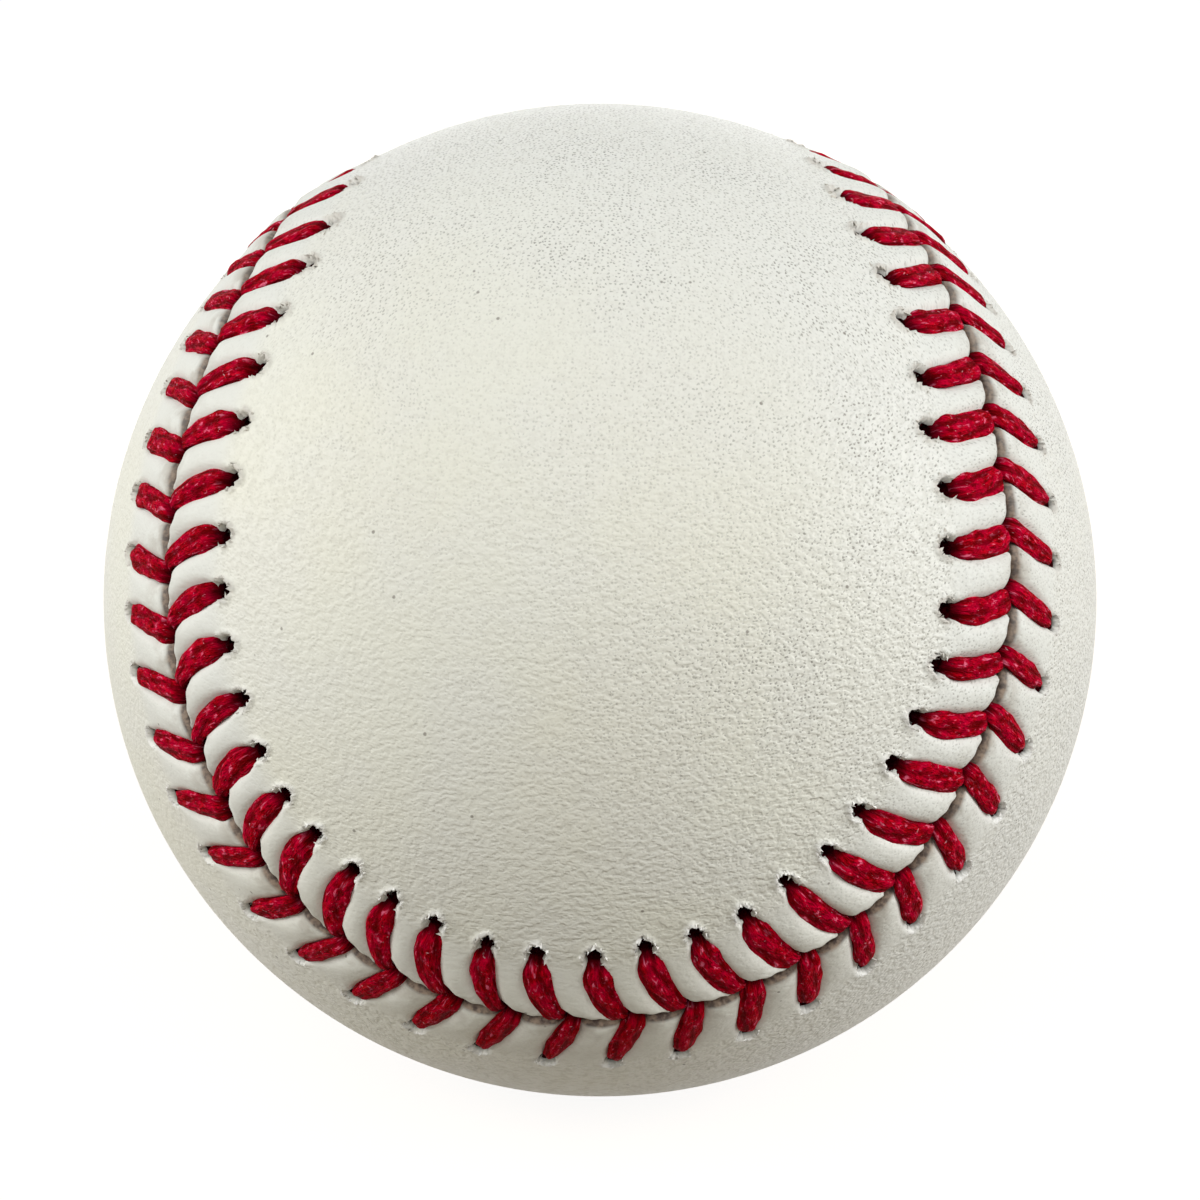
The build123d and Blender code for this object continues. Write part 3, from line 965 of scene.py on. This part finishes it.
def vector_maths(tree, operation, *values):
    """A vector maths node on sockets or triples; returns the node, which has a Vector and a Value output."""
    node = add_node(tree, "ShaderNodeVectorMath", operation=operation)
    feed(tree, node.inputs, values)
    return node


def reach_along(tree, place, direction):
    """How far a place lies along a direction from the ball's middle: their dot product."""
    return vector_maths(tree, "DOT_PRODUCT", place, direction).outputs["Value"]


def ranged(tree, value, low, high, to_low=0.0, to_high=1.0):
    """A smooth map of a value from one range to another, held at its ends."""
    node = add_node(tree, "ShaderNodeMapRange", {1: low, 2: high, 3: to_low, 4: to_high})
    node.interpolation_type = "SMOOTHSTEP"
    tree.links.new(value, node.inputs[0])
    return node.outputs[0]


def noise_on(tree, vector, scale, detail, **inputs):
    """A noise texture on a vector; returns its node, with a value and a colour output."""
    noise = add_node(tree, "ShaderNodeTexNoise", {"Scale": scale, "Detail": detail, **inputs})
    tree.links.new(vector, noise.inputs["Vector"])
    return noise


# %% Shared effects as node groups
PORE_SCALE = 4200.0
PORE_SPREAD = 0.85
PORE_PUSH = 0.22 * MM
PORE_RAG_SCALE = 5500.0
HALF = (0.5, 0.5, 0.5)


def make_mottle_group():
    """Slow cloudy mask from 0 to 1: a few octaves of noise, spread to the full range."""
    inputs = [("Vector", "Vector", None), ("Scale", "Float", 80.0)]
    group, start, end = new_group("slow_mottle", inputs, [("Mask", "Float", None)])
    noise = noise_on(group, start.outputs["Vector"], 1.0, 3.0, Roughness=0.55)
    group.links.new(start.outputs["Scale"], noise.inputs["Scale"])
    group.links.new(ranged(group, noise.outputs[0], 0.36, 0.64), end.inputs["Mask"])
    return group


def make_streak_group():
    """Fibre mask from 0 to 1: noise stretched along the first coordinate, coarse plus fine."""
    inputs = [("Vector", "Vector", None), ("Stretch", "Vector", (1, 1, 1))]
    group, start, end = new_group("fibre_streaks", inputs, [("Fibre", "Float", None)])
    scaled = vector_maths(group, "MULTIPLY", start.outputs["Vector"], start.outputs["Stretch"]).outputs[0]
    broad = noise_on(group, scaled, 1.0, 2.0, Distortion=0.4).outputs[0]
    fine = noise_on(group, scaled, 2.7, 2.0, Distortion=0.2).outputs[0]
    both = maths(group, "ADD", times(group, broad, 0.6), times(group, fine, 0.4))
    group.links.new(ranged(group, both, 0.34, 0.66), end.inputs["Fibre"])
    return group


def make_pore_group():
    """Ragged pores on a flat jittered lattice: a wide dent for the bump, a small dark dot for the colour."""
    outputs = [("Dent", "Float", None), ("Dot", "Float", None)]
    group, start, end = new_group("leather_pores", [("Vector", "Vector", None)], outputs)
    ragged = noise_on(group, start.outputs["Vector"], PORE_RAG_SCALE, 1.0)
    push = vector_maths(group, "SUBTRACT", ragged.outputs["Color"], HALF).outputs[0]
    push = vector_maths(group, "MULTIPLY", push, (PORE_PUSH, PORE_PUSH, 0)).outputs[0]
    pushed = vector_maths(group, "ADD", start.outputs["Vector"], push).outputs[0]
    inputs = {"Scale": PORE_SCALE, "Randomness": PORE_SPREAD}
    lattice = add_node(group, "ShaderNodeTexVoronoi", inputs, voronoi_dimensions="2D")
    group.links.new(pushed, lattice.inputs["Vector"])
    strength = ranged(group, lattice.outputs["Color"], 0.25, 0.70, 0.25, 1.0)
    dent = ranged(group, lattice.outputs["Distance"], 0.05, 0.55, 1.0, 0.0)
    dot = ranged(group, lattice.outputs["Distance"], 0.10, 0.36, 1.0, 0.0)
    group.links.new(times(group, dent, strength), end.inputs["Dent"])
    group.links.new(times(group, dot, strength), end.inputs["Dot"])
    return group


mottle_group = make_mottle_group()
pore_group = make_pore_group()
streak_group = make_streak_group()
print("shared effects:", mottle_group.name, pore_group.name, streak_group.name)

# %% Helpers for finishes
PORE_STRETCH = (0.9, 1.08)
PORE_VIEWS = (("Y", "Z"), ("X", "Z"), ("X", "Y"))
PORE_SQUARINGS = 4


def place_group(tree, group, vector, **values):
    """A group node in a material, with its vector linked and its other inputs set; returns the node."""
    node = add_node(tree, "ShaderNodeGroup", node_tree=group)
    tree.links.new(vector, node.inputs["Vector"])
    for key, value in values.items():
        node.inputs[key].default_value = value
    return node


def mottle(tree, vector, scale):
    """The slow cloudy mask at a scale."""
    return place_group(tree, mottle_group, vector, Scale=scale).outputs["Mask"]


def object_place(tree):
    """The place on the object, in its own coordinates."""
    return tree.nodes.new("ShaderNodeTexCoord").outputs["Object"]


def painted(tree, name):
    """A mask that was written on the mesh's points."""
    return add_node(tree, "ShaderNodeAttribute", attribute_name=name).outputs["Fac"]


def spread_pores(tree, place):
    """Dents and dots of pores seen along x, y and z, mixed by a high power of the outward direction.

    The direction from the ball's middle is squared four times, so that the nearest axis nearly always
    wins and the flat lattices meet without a blur.
    """
    split = tree.nodes.new("ShaderNodeSeparateXYZ")
    tree.links.new(place, split.inputs[0])
    views = {"Dent": tree.nodes.new("ShaderNodeCombineXYZ"), "Dot": tree.nodes.new("ShaderNodeCombineXYZ")}
    for axis, names in enumerate(PORE_VIEWS):
        flat = tree.nodes.new("ShaderNodeCombineXYZ")
        feed(tree, flat.inputs, [times(tree, split.outputs[n], s) for n, s in zip(names, PORE_STRETCH)])
        pores = place_group(tree, pore_group, flat.outputs[0])
        for kind, view in views.items():
            tree.links.new(pores.outputs[kind], view.inputs[axis])
    power = vector_maths(tree, "NORMALIZE", place).outputs[0]
    for _ in range(PORE_SQUARINGS):
        power = vector_maths(tree, "MULTIPLY", power, power).outputs[0]
    total = reach_along(tree, power, (1, 1, 1))
    weighed = [reach_along(tree, power, view.outputs[0]) for view in views.values()]
    return [maths(tree, "DIVIDE", value, total) for value in weighed]


def new_finish(name, **sockets):
    """A material with its shader's constant sockets set; returns the material, its tree and the shader."""
    material = bpy.data.materials.new(name)
    material.use_nodes = True
    shader = material.node_tree.nodes["Principled BSDF"]
    for key, value in sockets.items():
        shader.inputs[key.replace("_", " ")].default_value = value
    return material, material.node_tree, shader


def bump_to(tree, shader, height, distance):
    """A bump of a height mask from 0 to 1, as deep as a distance in metres."""
    bump = add_node(tree, "ShaderNodeBump", {"Strength": 1.0, "Distance": distance})
    tree.links.new(height, bump.inputs["Height"])
    tree.links.new(bump.outputs["Normal"], shader.inputs["Normal"])


# %% [markdown]
# ## Leather colour
# White tanned leather is a warm grey-white with faint yellow and cool clouds. Towards the right and the
# back it is a little cooler, and so are the strips that the stitches draw taut. Along the gap it is tinted
# grey-brown in clouds, strongest at the edge. The mesh says where the strips and the gap are; clouds and
# height come from the place on the ball, so the colour needs no unwrapped image.

# %% Whites of the leather
WHITE_CLEAR = (0.83, 0.832, 0.73, 1)
WHITE_CLOUD = (0.82, 0.81, 0.685, 1)
WHITE_PATCH = (0.81, 0.81, 0.775, 1)
WHITE_TURNED = (0.80, 0.81, 0.775, 1)
WHITE_DRAWN = (0.785, 0.80, 0.75, 1)
# A grey-brown tint in clouds along the gap, strongest at the panel edge
GAP_GREY_BROWN = (0.36, 0.31, 0.245, 1)
CLOUD_SCALE, CLOUD_SHARE = 45.0, 0.7
PATCH_SCALE, PATCH_SHARE = 110.0, 0.30
GAP_TINT_SCALE, GAP_TINT_AMOUNT = 650.0, 0.6
TURNED_WAY = (0.45, 0.85, 0)
TURNED_RANGE = (-0.030, -0.010, 0.0, 0.7)
DRAWN_RANGE = (-0.012, 0.004, 0.35, 0.75)
UPWARD = (0, 0, 1)


def leather_whites(tree, place, patch, masks):
    """Clouds and patches, mixed with the cooler white of the far sides and the taut strips, then a grey-brown
    tint.
    """
    cloud = mottle(tree, place, CLOUD_SCALE)
    colour = colour_mix(tree, times(tree, cloud, CLOUD_SHARE), WHITE_CLEAR, WHITE_CLOUD)
    colour = colour_mix(tree, times(tree, patch, PATCH_SHARE), colour, WHITE_PATCH)
    turned = ranged(tree, reach_along(tree, place, TURNED_WAY), *TURNED_RANGE)
    colour = colour_mix(tree, turned, colour, WHITE_TURNED)
    drawn = times(tree, masks["taut"], ranged(tree, reach_along(tree, place, UPWARD), *DRAWN_RANGE))
    colour = colour_mix(tree, drawn, colour, WHITE_DRAWN)
    # Grey-brown tint in clouds along the gap
    gap_tint_mix = times(tree, mottle(tree, place, GAP_TINT_SCALE), GAP_TINT_AMOUNT, masks["gap_tint"])
    return colour_mix(tree, gap_tint_mix, colour, GAP_GREY_BROWN)


# %% [markdown]
# ## Leather grain
# The hide was stretched over the ball, and its grain isn't the same all over: open pores show as dark dots
# above and on the right, and fine wrinkles that lie level run below and on the right. Both are thinner on
# the taut strips. A few dark specks are scattered over it. Modelling grain would take millions of faces, so
# it is colour and bump.

# %% Pores, wrinkles and specks
PORE_DARK = (0.22, 0.21, 0.175, 1)
FOLD_SHADE = (0.50, 0.485, 0.41, 1)
SPECK_DARK = (0.16, 0.14, 0.11, 1)
LEVEL_STRETCH = (0.70, 0.70, 1.0)
TAUT_GRAIN_SHARE = 0.55
PORE_WAY = (0.7, 0.0, 0.7)
PORE_RANGE = (-0.006, 0.024, 0.12, 1.0)
PORE_PATCH_RANGE = (0.0, 1.0, 0.6, 1.0)
SMOOTHED_PLACE = (0.0, -0.030, 0.021)
SMOOTHED_RANGE = (0.004, 0.019, 0.40, 1.0)
FOLD_WAY = (-0.6, 0.0, 0.6)
FOLD_RANGE = (-0.018, 0.014, 1.0, 0.5)
VALLEY_RANGE = (0.34, 0.50, 0.18, 0.0)
RIDGE_RANGE = (0.28, 0.68)
FINE_SCALE = 5200.0
WRINKLE_SCALE = 3000.0
FINE_GRAIN_SHARE = 0.20
PORE_DENT_SHARE = 0.22
SPECK_SCALE = 420.0
SPECK_RANGE = (0.03, 0.06, 0.7, 0.0)


def leather_grain(tree, place, patch, masks, colour):
    """The colour with pores, valleys and specks mixed in, and the grain's height from 0 to about 1.

    The height is the wrinkles plus a fine noise, less the dents of the pores, all weaker where taut.
    """
    level = add_node(tree, "ShaderNodeMapping", {"Scale": LEVEL_STRETCH})
    tree.links.new(place, level.inputs["Vector"])
    loose = ranged(tree, masks["taut"], 0.0, 1.0, 1.0, TAUT_GRAIN_SHARE)
    dent, dot = spread_pores(tree, place)
    openness = times(tree, ranged(tree, reach_along(tree, place, PORE_WAY), *PORE_RANGE), loose)
    from_smooth = vector_maths(tree, "DISTANCE", place, SMOOTHED_PLACE).outputs["Value"]
    openness = times(tree, openness, ranged(tree, from_smooth, *SMOOTHED_RANGE))
    pore = times(tree, dot, ranged(tree, patch, *PORE_PATCH_RANGE))
    colour = colour_mix(tree, times(tree, pore, openness), colour, PORE_DARK)
    fine = noise_on(tree, level.outputs[0], FINE_SCALE, 1.0).outputs[0]
    wrinkle = noise_on(tree, level.outputs[0], WRINKLE_SCALE, 1.0, Roughness=0.5, Distortion=0.2).outputs[0]
    folded = times(tree, ranged(tree, reach_along(tree, place, FOLD_WAY), *FOLD_RANGE), loose)
    valley = times(tree, ranged(tree, wrinkle, *VALLEY_RANGE), folded)
    colour = colour_mix(tree, valley, colour, FOLD_SHADE)
    speck = add_node(tree, "ShaderNodeTexVoronoi", {"Scale": SPECK_SCALE, "Randomness": 1.0}, feature="F1")
    tree.links.new(place, speck.inputs["Vector"])
    colour = colour_mix(tree, ranged(tree, speck.outputs["Distance"], *SPECK_RANGE), colour, SPECK_DARK)
    ridge = times(tree, ranged(tree, wrinkle, *RIDGE_RANGE), folded)
    grain = maths(tree, "ADD", ridge, times(tree, fine, FINE_GRAIN_SHARE))
    grain = maths(tree, "SUBTRACT", grain, times(tree, dent, PORE_DENT_SHARE))
    return colour, times(tree, grain, loose)


# %% [markdown]
# ## Holes, lips and raw edges
# Torn leather is pale; its lips are painted brighter low on the ball, a painted highlight, and a darker beige
# higher up, painted shade. The cut edge in the gap is brown and fibrous, its darkest brown deepened into
# painted shade in the gap, and down the holes the leather is painted nearly black, painted shade. The edges
# could be pieces of their own, but they are one hide, so the masks of the mesh lay these colours over the
# grain of the one material.

# %% Leather
# The raw edge is brown; its near-black end is painted shade in the gap
RAW_BROWN_AND_SHADE = (0.05, 0.026, 0.018, 1)
RAW_LIGHT = (0.34, 0.25, 0.18, 1)
RAW_RANGE = (0.30, 0.72)
FRAYED_SCALE = 2600.0
# Torn lips: pale leather painted brighter low on the ball as a painted highlight, and beige painted shade
# higher up
LIP_PALE_AND_HIGHLIGHT = (0.93, 0.925, 0.89, 1)
LIP_PAINTED_SHADE = (0.50, 0.46, 0.39, 1)
LIP_LIGHT_TO_SHADE_RANGE = (-0.004, 0.014, 0.0, 0.75)
LIP_SHARE = 0.9
# Painted shade: the pits of the holes are coloured nearly black
HOLE_PAINTED_SHADE = (0.016, 0.007, 0.006, 1)
HOLE_RANGE = (0.15, 0.75)
LEATHER_ROUGHNESS = (0.0, 0.7, 0.62, 0.46)
LEATHER_BUMP = 0.06 * MM
LEATHER_MASKS = ("hole", "torn_lip", "raw_edge", "taut", "gap_tint")


def make_leather():
    """White leather: whites, grain, then lips, raw edges and holes by their masks."""
    material, tree, shader = new_finish("white_leather", Specular_IOR_Level=0.40)
    place = object_place(tree)
    masks = {name: painted(tree, name) for name in LEATHER_MASKS}
    patch = mottle(tree, place, PATCH_SCALE)
    colour = leather_whites(tree, place, patch, masks)
    colour, grain = leather_grain(tree, place, patch, masks, colour)
    frayed = noise_on(tree, place, FRAYED_SCALE, 2.0).outputs[0]
    raw = colour_mix(tree, ranged(tree, frayed, *RAW_RANGE), RAW_BROWN_AND_SHADE, RAW_LIGHT)
    # Lips: a painted highlight low on the ball, painted shade higher up
    upper = ranged(tree, reach_along(tree, place, UPWARD), *LIP_LIGHT_TO_SHADE_RANGE)
    lip = colour_mix(tree, upper, LIP_PALE_AND_HIGHLIGHT, LIP_PAINTED_SHADE)
    colour = colour_mix(tree, times(tree, masks["torn_lip"], LIP_SHARE), colour, lip)
    # Raw edge: brown fibres, the darkest of them painted shade in the gap
    colour = colour_mix(tree, masks["raw_edge"], colour, raw)
    # Painted shade down the holes
    colour = colour_mix(tree, ranged(tree, masks["hole"], *HOLE_RANGE), colour, HOLE_PAINTED_SHADE)
    tree.links.new(colour, shader.inputs["Base Color"])
    tree.links.new(ranged(tree, grain, *LEATHER_ROUGHNESS), shader.inputs["Roughness"])
    bump_to(tree, shader, grain, LEATHER_BUMP)
    return material


leather = make_leather()
for piece in cover_pieces:
    piece.data.materials.append(leather)
print("leather has", len(leather.node_tree.nodes), "nodes")

# %% [markdown]
# ## Thread finish
# The thread is waxed cotton. Its colour runs from dark wine between the fibres to a bright crimson on top,
# with pale pink painted highlights on the crests and pale specks, partly wax and partly painted glints.
# Painted shade darkens the hollows, the grooves between the plies and the thread where it dives into a hole,
# and low on the ball it is a deeper red, also painted shade. All but that follows the fibres, so it reads the
# thread's own UV map, where a pattern by place would cut across them.

# %% Red thread
FIBRE_DARK = (0.16, 0.0, 0.0006, 1)
FIBRE_RED = (0.62, 0.0, 0.013, 1)
FIBRE_STRETCH = (1.3, 4.0, 1.0)
TONE_RED = (0.74, 0.0, 0.055, 1)
TONE_SCALE = 1.1
TONE_SHARE = 0.45
# Painted highlight: pale pink on the crests of the noise, standing in for the thread's shine
CREST_PAINTED_HIGHLIGHT = (0.98, 0.19, 0.32, 1)
CREST_SCALE = 3.4
CREST_RANGE = (0.57, 0.70, 0.0, 0.9)
CREST_STRETCH = (0.42, 1.0, 1.0)
# Painted shade in the hollows of the same noise that gives the thread its bump
HOLLOW_PAINTED_SHADE = (0.11, 0.0, 0.0004, 1)
HOLLOW_RANGE = (0.34, 0.46, 0.75, 0.0)
# Painted shade: the thread is a darker red low on the ball
LOW_PAINTED_SHADE = (0.40, 0.0, 0.001, 1)
LOW_RANGE = (-0.024, -0.008, 0.55, 0.0)
# Painted shade in the grooves between the plies
GROOVE_PAINTED_SHADE = (0.12, 0.0, 0.0004, 1)
GROOVE_RANGE = (0.55, 1.0, 0.0, 0.80)
# Pale specks: partly wax, partly painted glints where the thread shines
WAX_AND_GLINT_PALE = (0.85, 0.52, 0.56, 1)
WAX_GLINT_SCALE = 3.0
WAX_GLINT_RANGE = (0.70, 0.77, 0.0, 1.0)
WAX_GLINT_SHARE = 0.7
# Painted shade: the thread darkens where it falls into a hole
DEPTH_PAINTED_SHADE = (0.012, 0.0, 0.001, 1)
DEPTH_SHADE_SHARE = 0.92
THREAD_ROUGHNESS = (0.0, 1.0, 0.62, 0.42)
THREAD_BUMP = 0.10 * MM


def make_red_thread():
    """Crimson fibres on the UV map; painted shade in the grooves and down the holes; painted highlights; wax
    and glints.
    """
    material, tree, shader = new_finish("red_waxed_thread", Specular_IOR_Level=0.01)
    place = add_node(tree, "ShaderNodeUVMap", uv_map="thread_map").outputs["UV"]
    fibre = place_group(tree, streak_group, place, Stretch=FIBRE_STRETCH).outputs["Fibre"]
    drawn_out = add_node(tree, "ShaderNodeMapping", {"Scale": CREST_STRETCH})
    tree.links.new(place, drawn_out.inputs["Vector"])
    crest = noise_on(tree, drawn_out.outputs[0], CREST_SCALE, 3.0, Roughness=0.6, Distortion=0.5).outputs[0]
    wax_glint_specks = noise_on(tree, place, WAX_GLINT_SCALE, 2.0, Distortion=0.8).outputs[0]
    low = reach_along(tree, object_place(tree), UPWARD)
    colour = colour_mix(tree, fibre, FIBRE_DARK, FIBRE_RED)
    # Layers: tone, painted highlight, painted shade in hollows, low on the ball, in grooves and down holes,
    # and wax with painted glints
    layers = (
        (times(tree, mottle(tree, place, TONE_SCALE), TONE_SHARE), TONE_RED),
        (ranged(tree, crest, *CREST_RANGE), CREST_PAINTED_HIGHLIGHT),
        (ranged(tree, crest, *HOLLOW_RANGE), HOLLOW_PAINTED_SHADE),
        (ranged(tree, low, *LOW_RANGE), LOW_PAINTED_SHADE),
        (ranged(tree, painted(tree, "groove"), *GROOVE_RANGE), GROOVE_PAINTED_SHADE),
        (times(tree, ranged(tree, wax_glint_specks, *WAX_GLINT_RANGE), WAX_GLINT_SHARE), WAX_AND_GLINT_PALE),
        (times(tree, painted(tree, "depth"), DEPTH_SHADE_SHARE), DEPTH_PAINTED_SHADE),
    )
    for share, layer in layers:
        colour = colour_mix(tree, share, colour, layer)
    tree.links.new(colour, shader.inputs["Base Color"])
    tree.links.new(ranged(tree, fibre, *THREAD_ROUGHNESS), shader.inputs["Roughness"])
    bump_to(tree, shader, maths(tree, "ADD", fibre, crest), THREAD_BUMP)
    return material


red_thread = make_red_thread()
for piece in thread_pieces:
    piece.data.materials.append(red_thread)
print("thread has", len(red_thread.node_tree.nodes), "nodes")

# %% [markdown]
# ## Finishes of the inner pieces
# Nobody sees the inside until the ball is cut open, yet each layer is told apart by its stuff: ground cork,
# moulded rubber, wool yarn wound in every direction, and a last fine yarn. Their meshes are the solids' own,
# so each finish reads the place on the object and needs no map.

# %% Cork, rubber and yarn
YARN_CROSSING = 1.2
YARN_LEANS = (1.0, 0.4, 0.7)
YARN_STRETCH = (60.0, 900.0, 900.0)
YARN_LAYER_SCALE = 90.0
YARN_BUMP = 0.3 * MM


def make_speckled(name, dark, light, grain_scale, roughness, depth):
    """A moulded or ground stuff: two colours by mottle, with the same mottle as its bump."""
    material, tree, shader = new_finish(name, Roughness=roughness)
    mask = mottle(tree, object_place(tree), grain_scale)
    tree.links.new(colour_mix(tree, mask, (*dark, 1), (*light, 1)), shader.inputs["Base Color"])
    bump_to(tree, shader, mask, depth)
    return material


def make_yarn(name, dark, light, turn):
    """Yarn wound in two crossing directions: fibre streaks on two turned copies of the place, by mottle."""
    material, tree, shader = new_finish(name, Roughness=0.9)
    place = object_place(tree)
    fibres = []
    for angle in (turn, turn + YARN_CROSSING):
        mapping = add_node(tree, "ShaderNodeMapping", {"Rotation": [lean * angle for lean in YARN_LEANS]})
        tree.links.new(place, mapping.inputs["Vector"])
        streaks = place_group(tree, streak_group, mapping.outputs[0], Stretch=YARN_STRETCH)
        fibres.append(streaks.outputs["Fibre"])
    layer = mottle(tree, place, YARN_LAYER_SCALE)
    pick = add_node(tree, "ShaderNodeMix", data_type="FLOAT")
    feed(tree, (pick.inputs[0], pick.inputs[2], pick.inputs[3]), (layer, *fibres))
    colour = colour_mix(tree, pick.outputs[0], (*dark, 1), (*light, 1))
    tree.links.new(colour, shader.inputs["Base Color"])
    bump_to(tree, shader, pick.outputs[0], YARN_BUMP)
    return material


cork = make_speckled("ground_cork", (0.25, 0.13, 0.06), (0.58, 0.38, 0.20), 900.0, 0.85, 0.15 * MM)
black = make_speckled("black_rubber", (0.012, 0.012, 0.012), (0.03, 0.029, 0.028), 500.0, 0.6, 0.03 * MM)
red = make_speckled("red_rubber", (0.38, 0.05, 0.035), (0.52, 0.085, 0.06), 500.0, 0.6, 0.03 * MM)
grey_wool = make_yarn("grey_wool_yarn", (0.20, 0.19, 0.185), (0.47, 0.45, 0.43), 0.3)
white_wool = make_yarn("white_wool_yarn", (0.55, 0.52, 0.45), (0.83, 0.80, 0.73), 0.9)
last_yarn = make_yarn("finish_yarn", (0.50, 0.47, 0.42), (0.80, 0.77, 0.71), 1.7)
inner_finishes = {
    "cork_core": cork,
    "black_shell_upper": black,
    "black_shell_lower": black,
    "pill_washer": red,
    "red_rubber_layer": red,
    "first_winding": grey_wool,
    "second_winding": white_wool,
    "third_winding": grey_wool,
    "finish_winding": last_yarn,
}
for node, material in inner_finishes.items():
    slots = frame["nodes"][node].data.materials
    slots.clear()
    slots.append(material)
print("finished inner nodes:", len(inner_finishes))

# %% [markdown]
# ## Floor and light
# The ball was photographed close, on nothing that shows, in soft light from both sides, from the front and a
# little from behind. The floor is dull, so that it throws little light back up; what the camera sees of it
# is nearly white, with a soft shadow. One strong lamp would light the ball too, but the photograph has no
# hard shadow, and four wide lamps give none.

# %% Floor and surroundings
FLOOR_HALF = 6.0
FLOOR_COLOUR = (0.22, 0.185, 0.135, 1)
FLOOR_WHITE_RANGE = (0.06, 0.30, 0.90, 1.0)
WHITE = (1, 1, 1, 1)
WORLD_COLOUR = (1.0, 0.985, 0.97, 1)
WORLD_STRENGTH = 0.14


def camera_sees(tree):
    """1 for rays that the camera, a mirror or glass sends out, and 0 for light on its way to a surface."""
    path = tree.nodes.new("ShaderNodeLightPath")
    through = maths(tree, "MAXIMUM", path.outputs["Is Glossy Ray"], path.outputs["Is Transmission Ray"])
    return maths(tree, "MAXIMUM", path.outputs["Is Camera Ray"], through)


def make_floor():
    """A flat square under the ball: a plain diffuse colour, with white added for what the camera sees."""
    square = ((-1, -1), (1, -1), (1, 1), (-1, 1))
    corners = [(x * FLOOR_HALF, y * FLOOR_HALF, -BALL_RADIUS) for x, y in square]
    mesh = bpy.data.meshes.new("pale_floor")
    mesh.from_pydata(corners, [], [(0, 1, 2, 3)])
    floor = bpy.data.objects.new("pale_floor", mesh)
    bpy.context.scene.collection.objects.link(floor)
    material, tree, shader = new_finish("pale_floor", Roughness=1.0, Specular_IOR_Level=0.0)
    shader.inputs["Base Color"].default_value = FLOOR_COLOUR
    shader.inputs["Emission Color"].default_value = WHITE
    reach = vector_maths(tree, "LENGTH", object_place(tree)).outputs["Value"]
    white = times(tree, camera_sees(tree), ranged(tree, reach, *FLOOR_WHITE_RANGE))
    tree.links.new(white, shader.inputs["Emission Strength"])
    mesh.materials.append(material)


def make_world():
    """Even light from all round, and white for what the camera sees."""
    world = bpy.data.worlds.new("studio")
    bpy.context.scene.world = world
    world.use_nodes = True
    tree = world.node_tree
    light = tree.nodes["Background"]
    feed(tree, (light.inputs["Color"], light.inputs["Strength"]), (WORLD_COLOUR, WORLD_STRENGTH))
    white = add_node(tree, "ShaderNodeBackground", {"Color": WHITE, "Strength": 1.0})
    mix = tree.nodes.new("ShaderNodeMixShader")
    feed(tree, mix.inputs, (camera_sees(tree), light.outputs[0], white.outputs[0]))
    tree.links.new(mix.outputs[0], tree.nodes["World Output"].inputs["Surface"])


make_floor()
make_world()
print("floor", 2 * FLOOR_HALF, "m across, world strength", WORLD_STRENGTH)

# %% Soft lamps
# A row is a name, a place in metres and an energy in watts
SOFT_LAMPS = (
    ("left_softbox", (-0.55, -0.08, 0.22), 2.28),
    ("right_softbox", (0.55, -0.08, 0.22), 2.50),
    ("front_softbox", (0.0, -0.4243, 0.4243), 1.64),
    ("back_softbox", (0.0, 0.597, 0.06), 0.95),
)
LAMP_SIZE = 0.4
for lamp_name, lamp_place, lamp_energy in SOFT_LAMPS:
    lamp_data = bpy.data.lights.new(lamp_name, "AREA")
    lamp_data.size = LAMP_SIZE
    lamp_data.energy = lamp_energy
    lamp = bpy.data.objects.new(lamp_name, lamp_data)
    lamp.location = lamp_place
    lamp.rotation_euler = (-Vector(lamp_place)).to_track_quat("-Z", "Y").to_euler()
    bpy.context.scene.collection.objects.link(lamp)
print("lamps:", [row[0] for row in SOFT_LAMPS])

# %% [markdown]
# ## Camera
# The photograph was taken from near by, so the far sides of the ball are hidden and the seam leaves over
# its top. The camera's place and lens were found from the ball's outline and the run of its seam, which is
# surer than turning the view by eye.

# %% Camera
CAMERA_AZIMUTH = math.radians(2.30)
CAMERA_ELEVATION = math.radians(21.15)
CAMERA_ROLL = math.radians(0.22)
CAMERA_DISTANCE = 3.8126 * BALL_RADIUS
FOCAL_PIXELS, PHOTO_PIXELS = 1826.45, 1200
NEAR_CLIP = 0.001
back = Vector((
    math.sin(CAMERA_AZIMUTH) * math.cos(CAMERA_ELEVATION),
    -math.cos(CAMERA_AZIMUTH) * math.cos(CAMERA_ELEVATION),
    math.sin(CAMERA_ELEVATION),
))
camera_data = bpy.data.cameras.new("camera")
camera_data.sensor_width = 36
camera_data.lens = camera_data.sensor_width * FOCAL_PIXELS / PHOTO_PIXELS
camera_data.clip_start = NEAR_CLIP
camera = bpy.data.objects.new("camera", camera_data)
camera.location = back * CAMERA_DISTANCE
aim = (-back).to_track_quat("-Z", "Y").to_matrix()
camera.rotation_euler = (aim @ Matrix.Rotation(CAMERA_ROLL, 3, "Z")).to_euler()
bpy.context.scene.collection.objects.link(camera)
bpy.context.scene.camera = camera
bpy.context.scene.view_settings.view_transform = "Standard"
print("camera", [round(v, 4) for v in camera.location], "lens", round(camera_data.lens, 2))
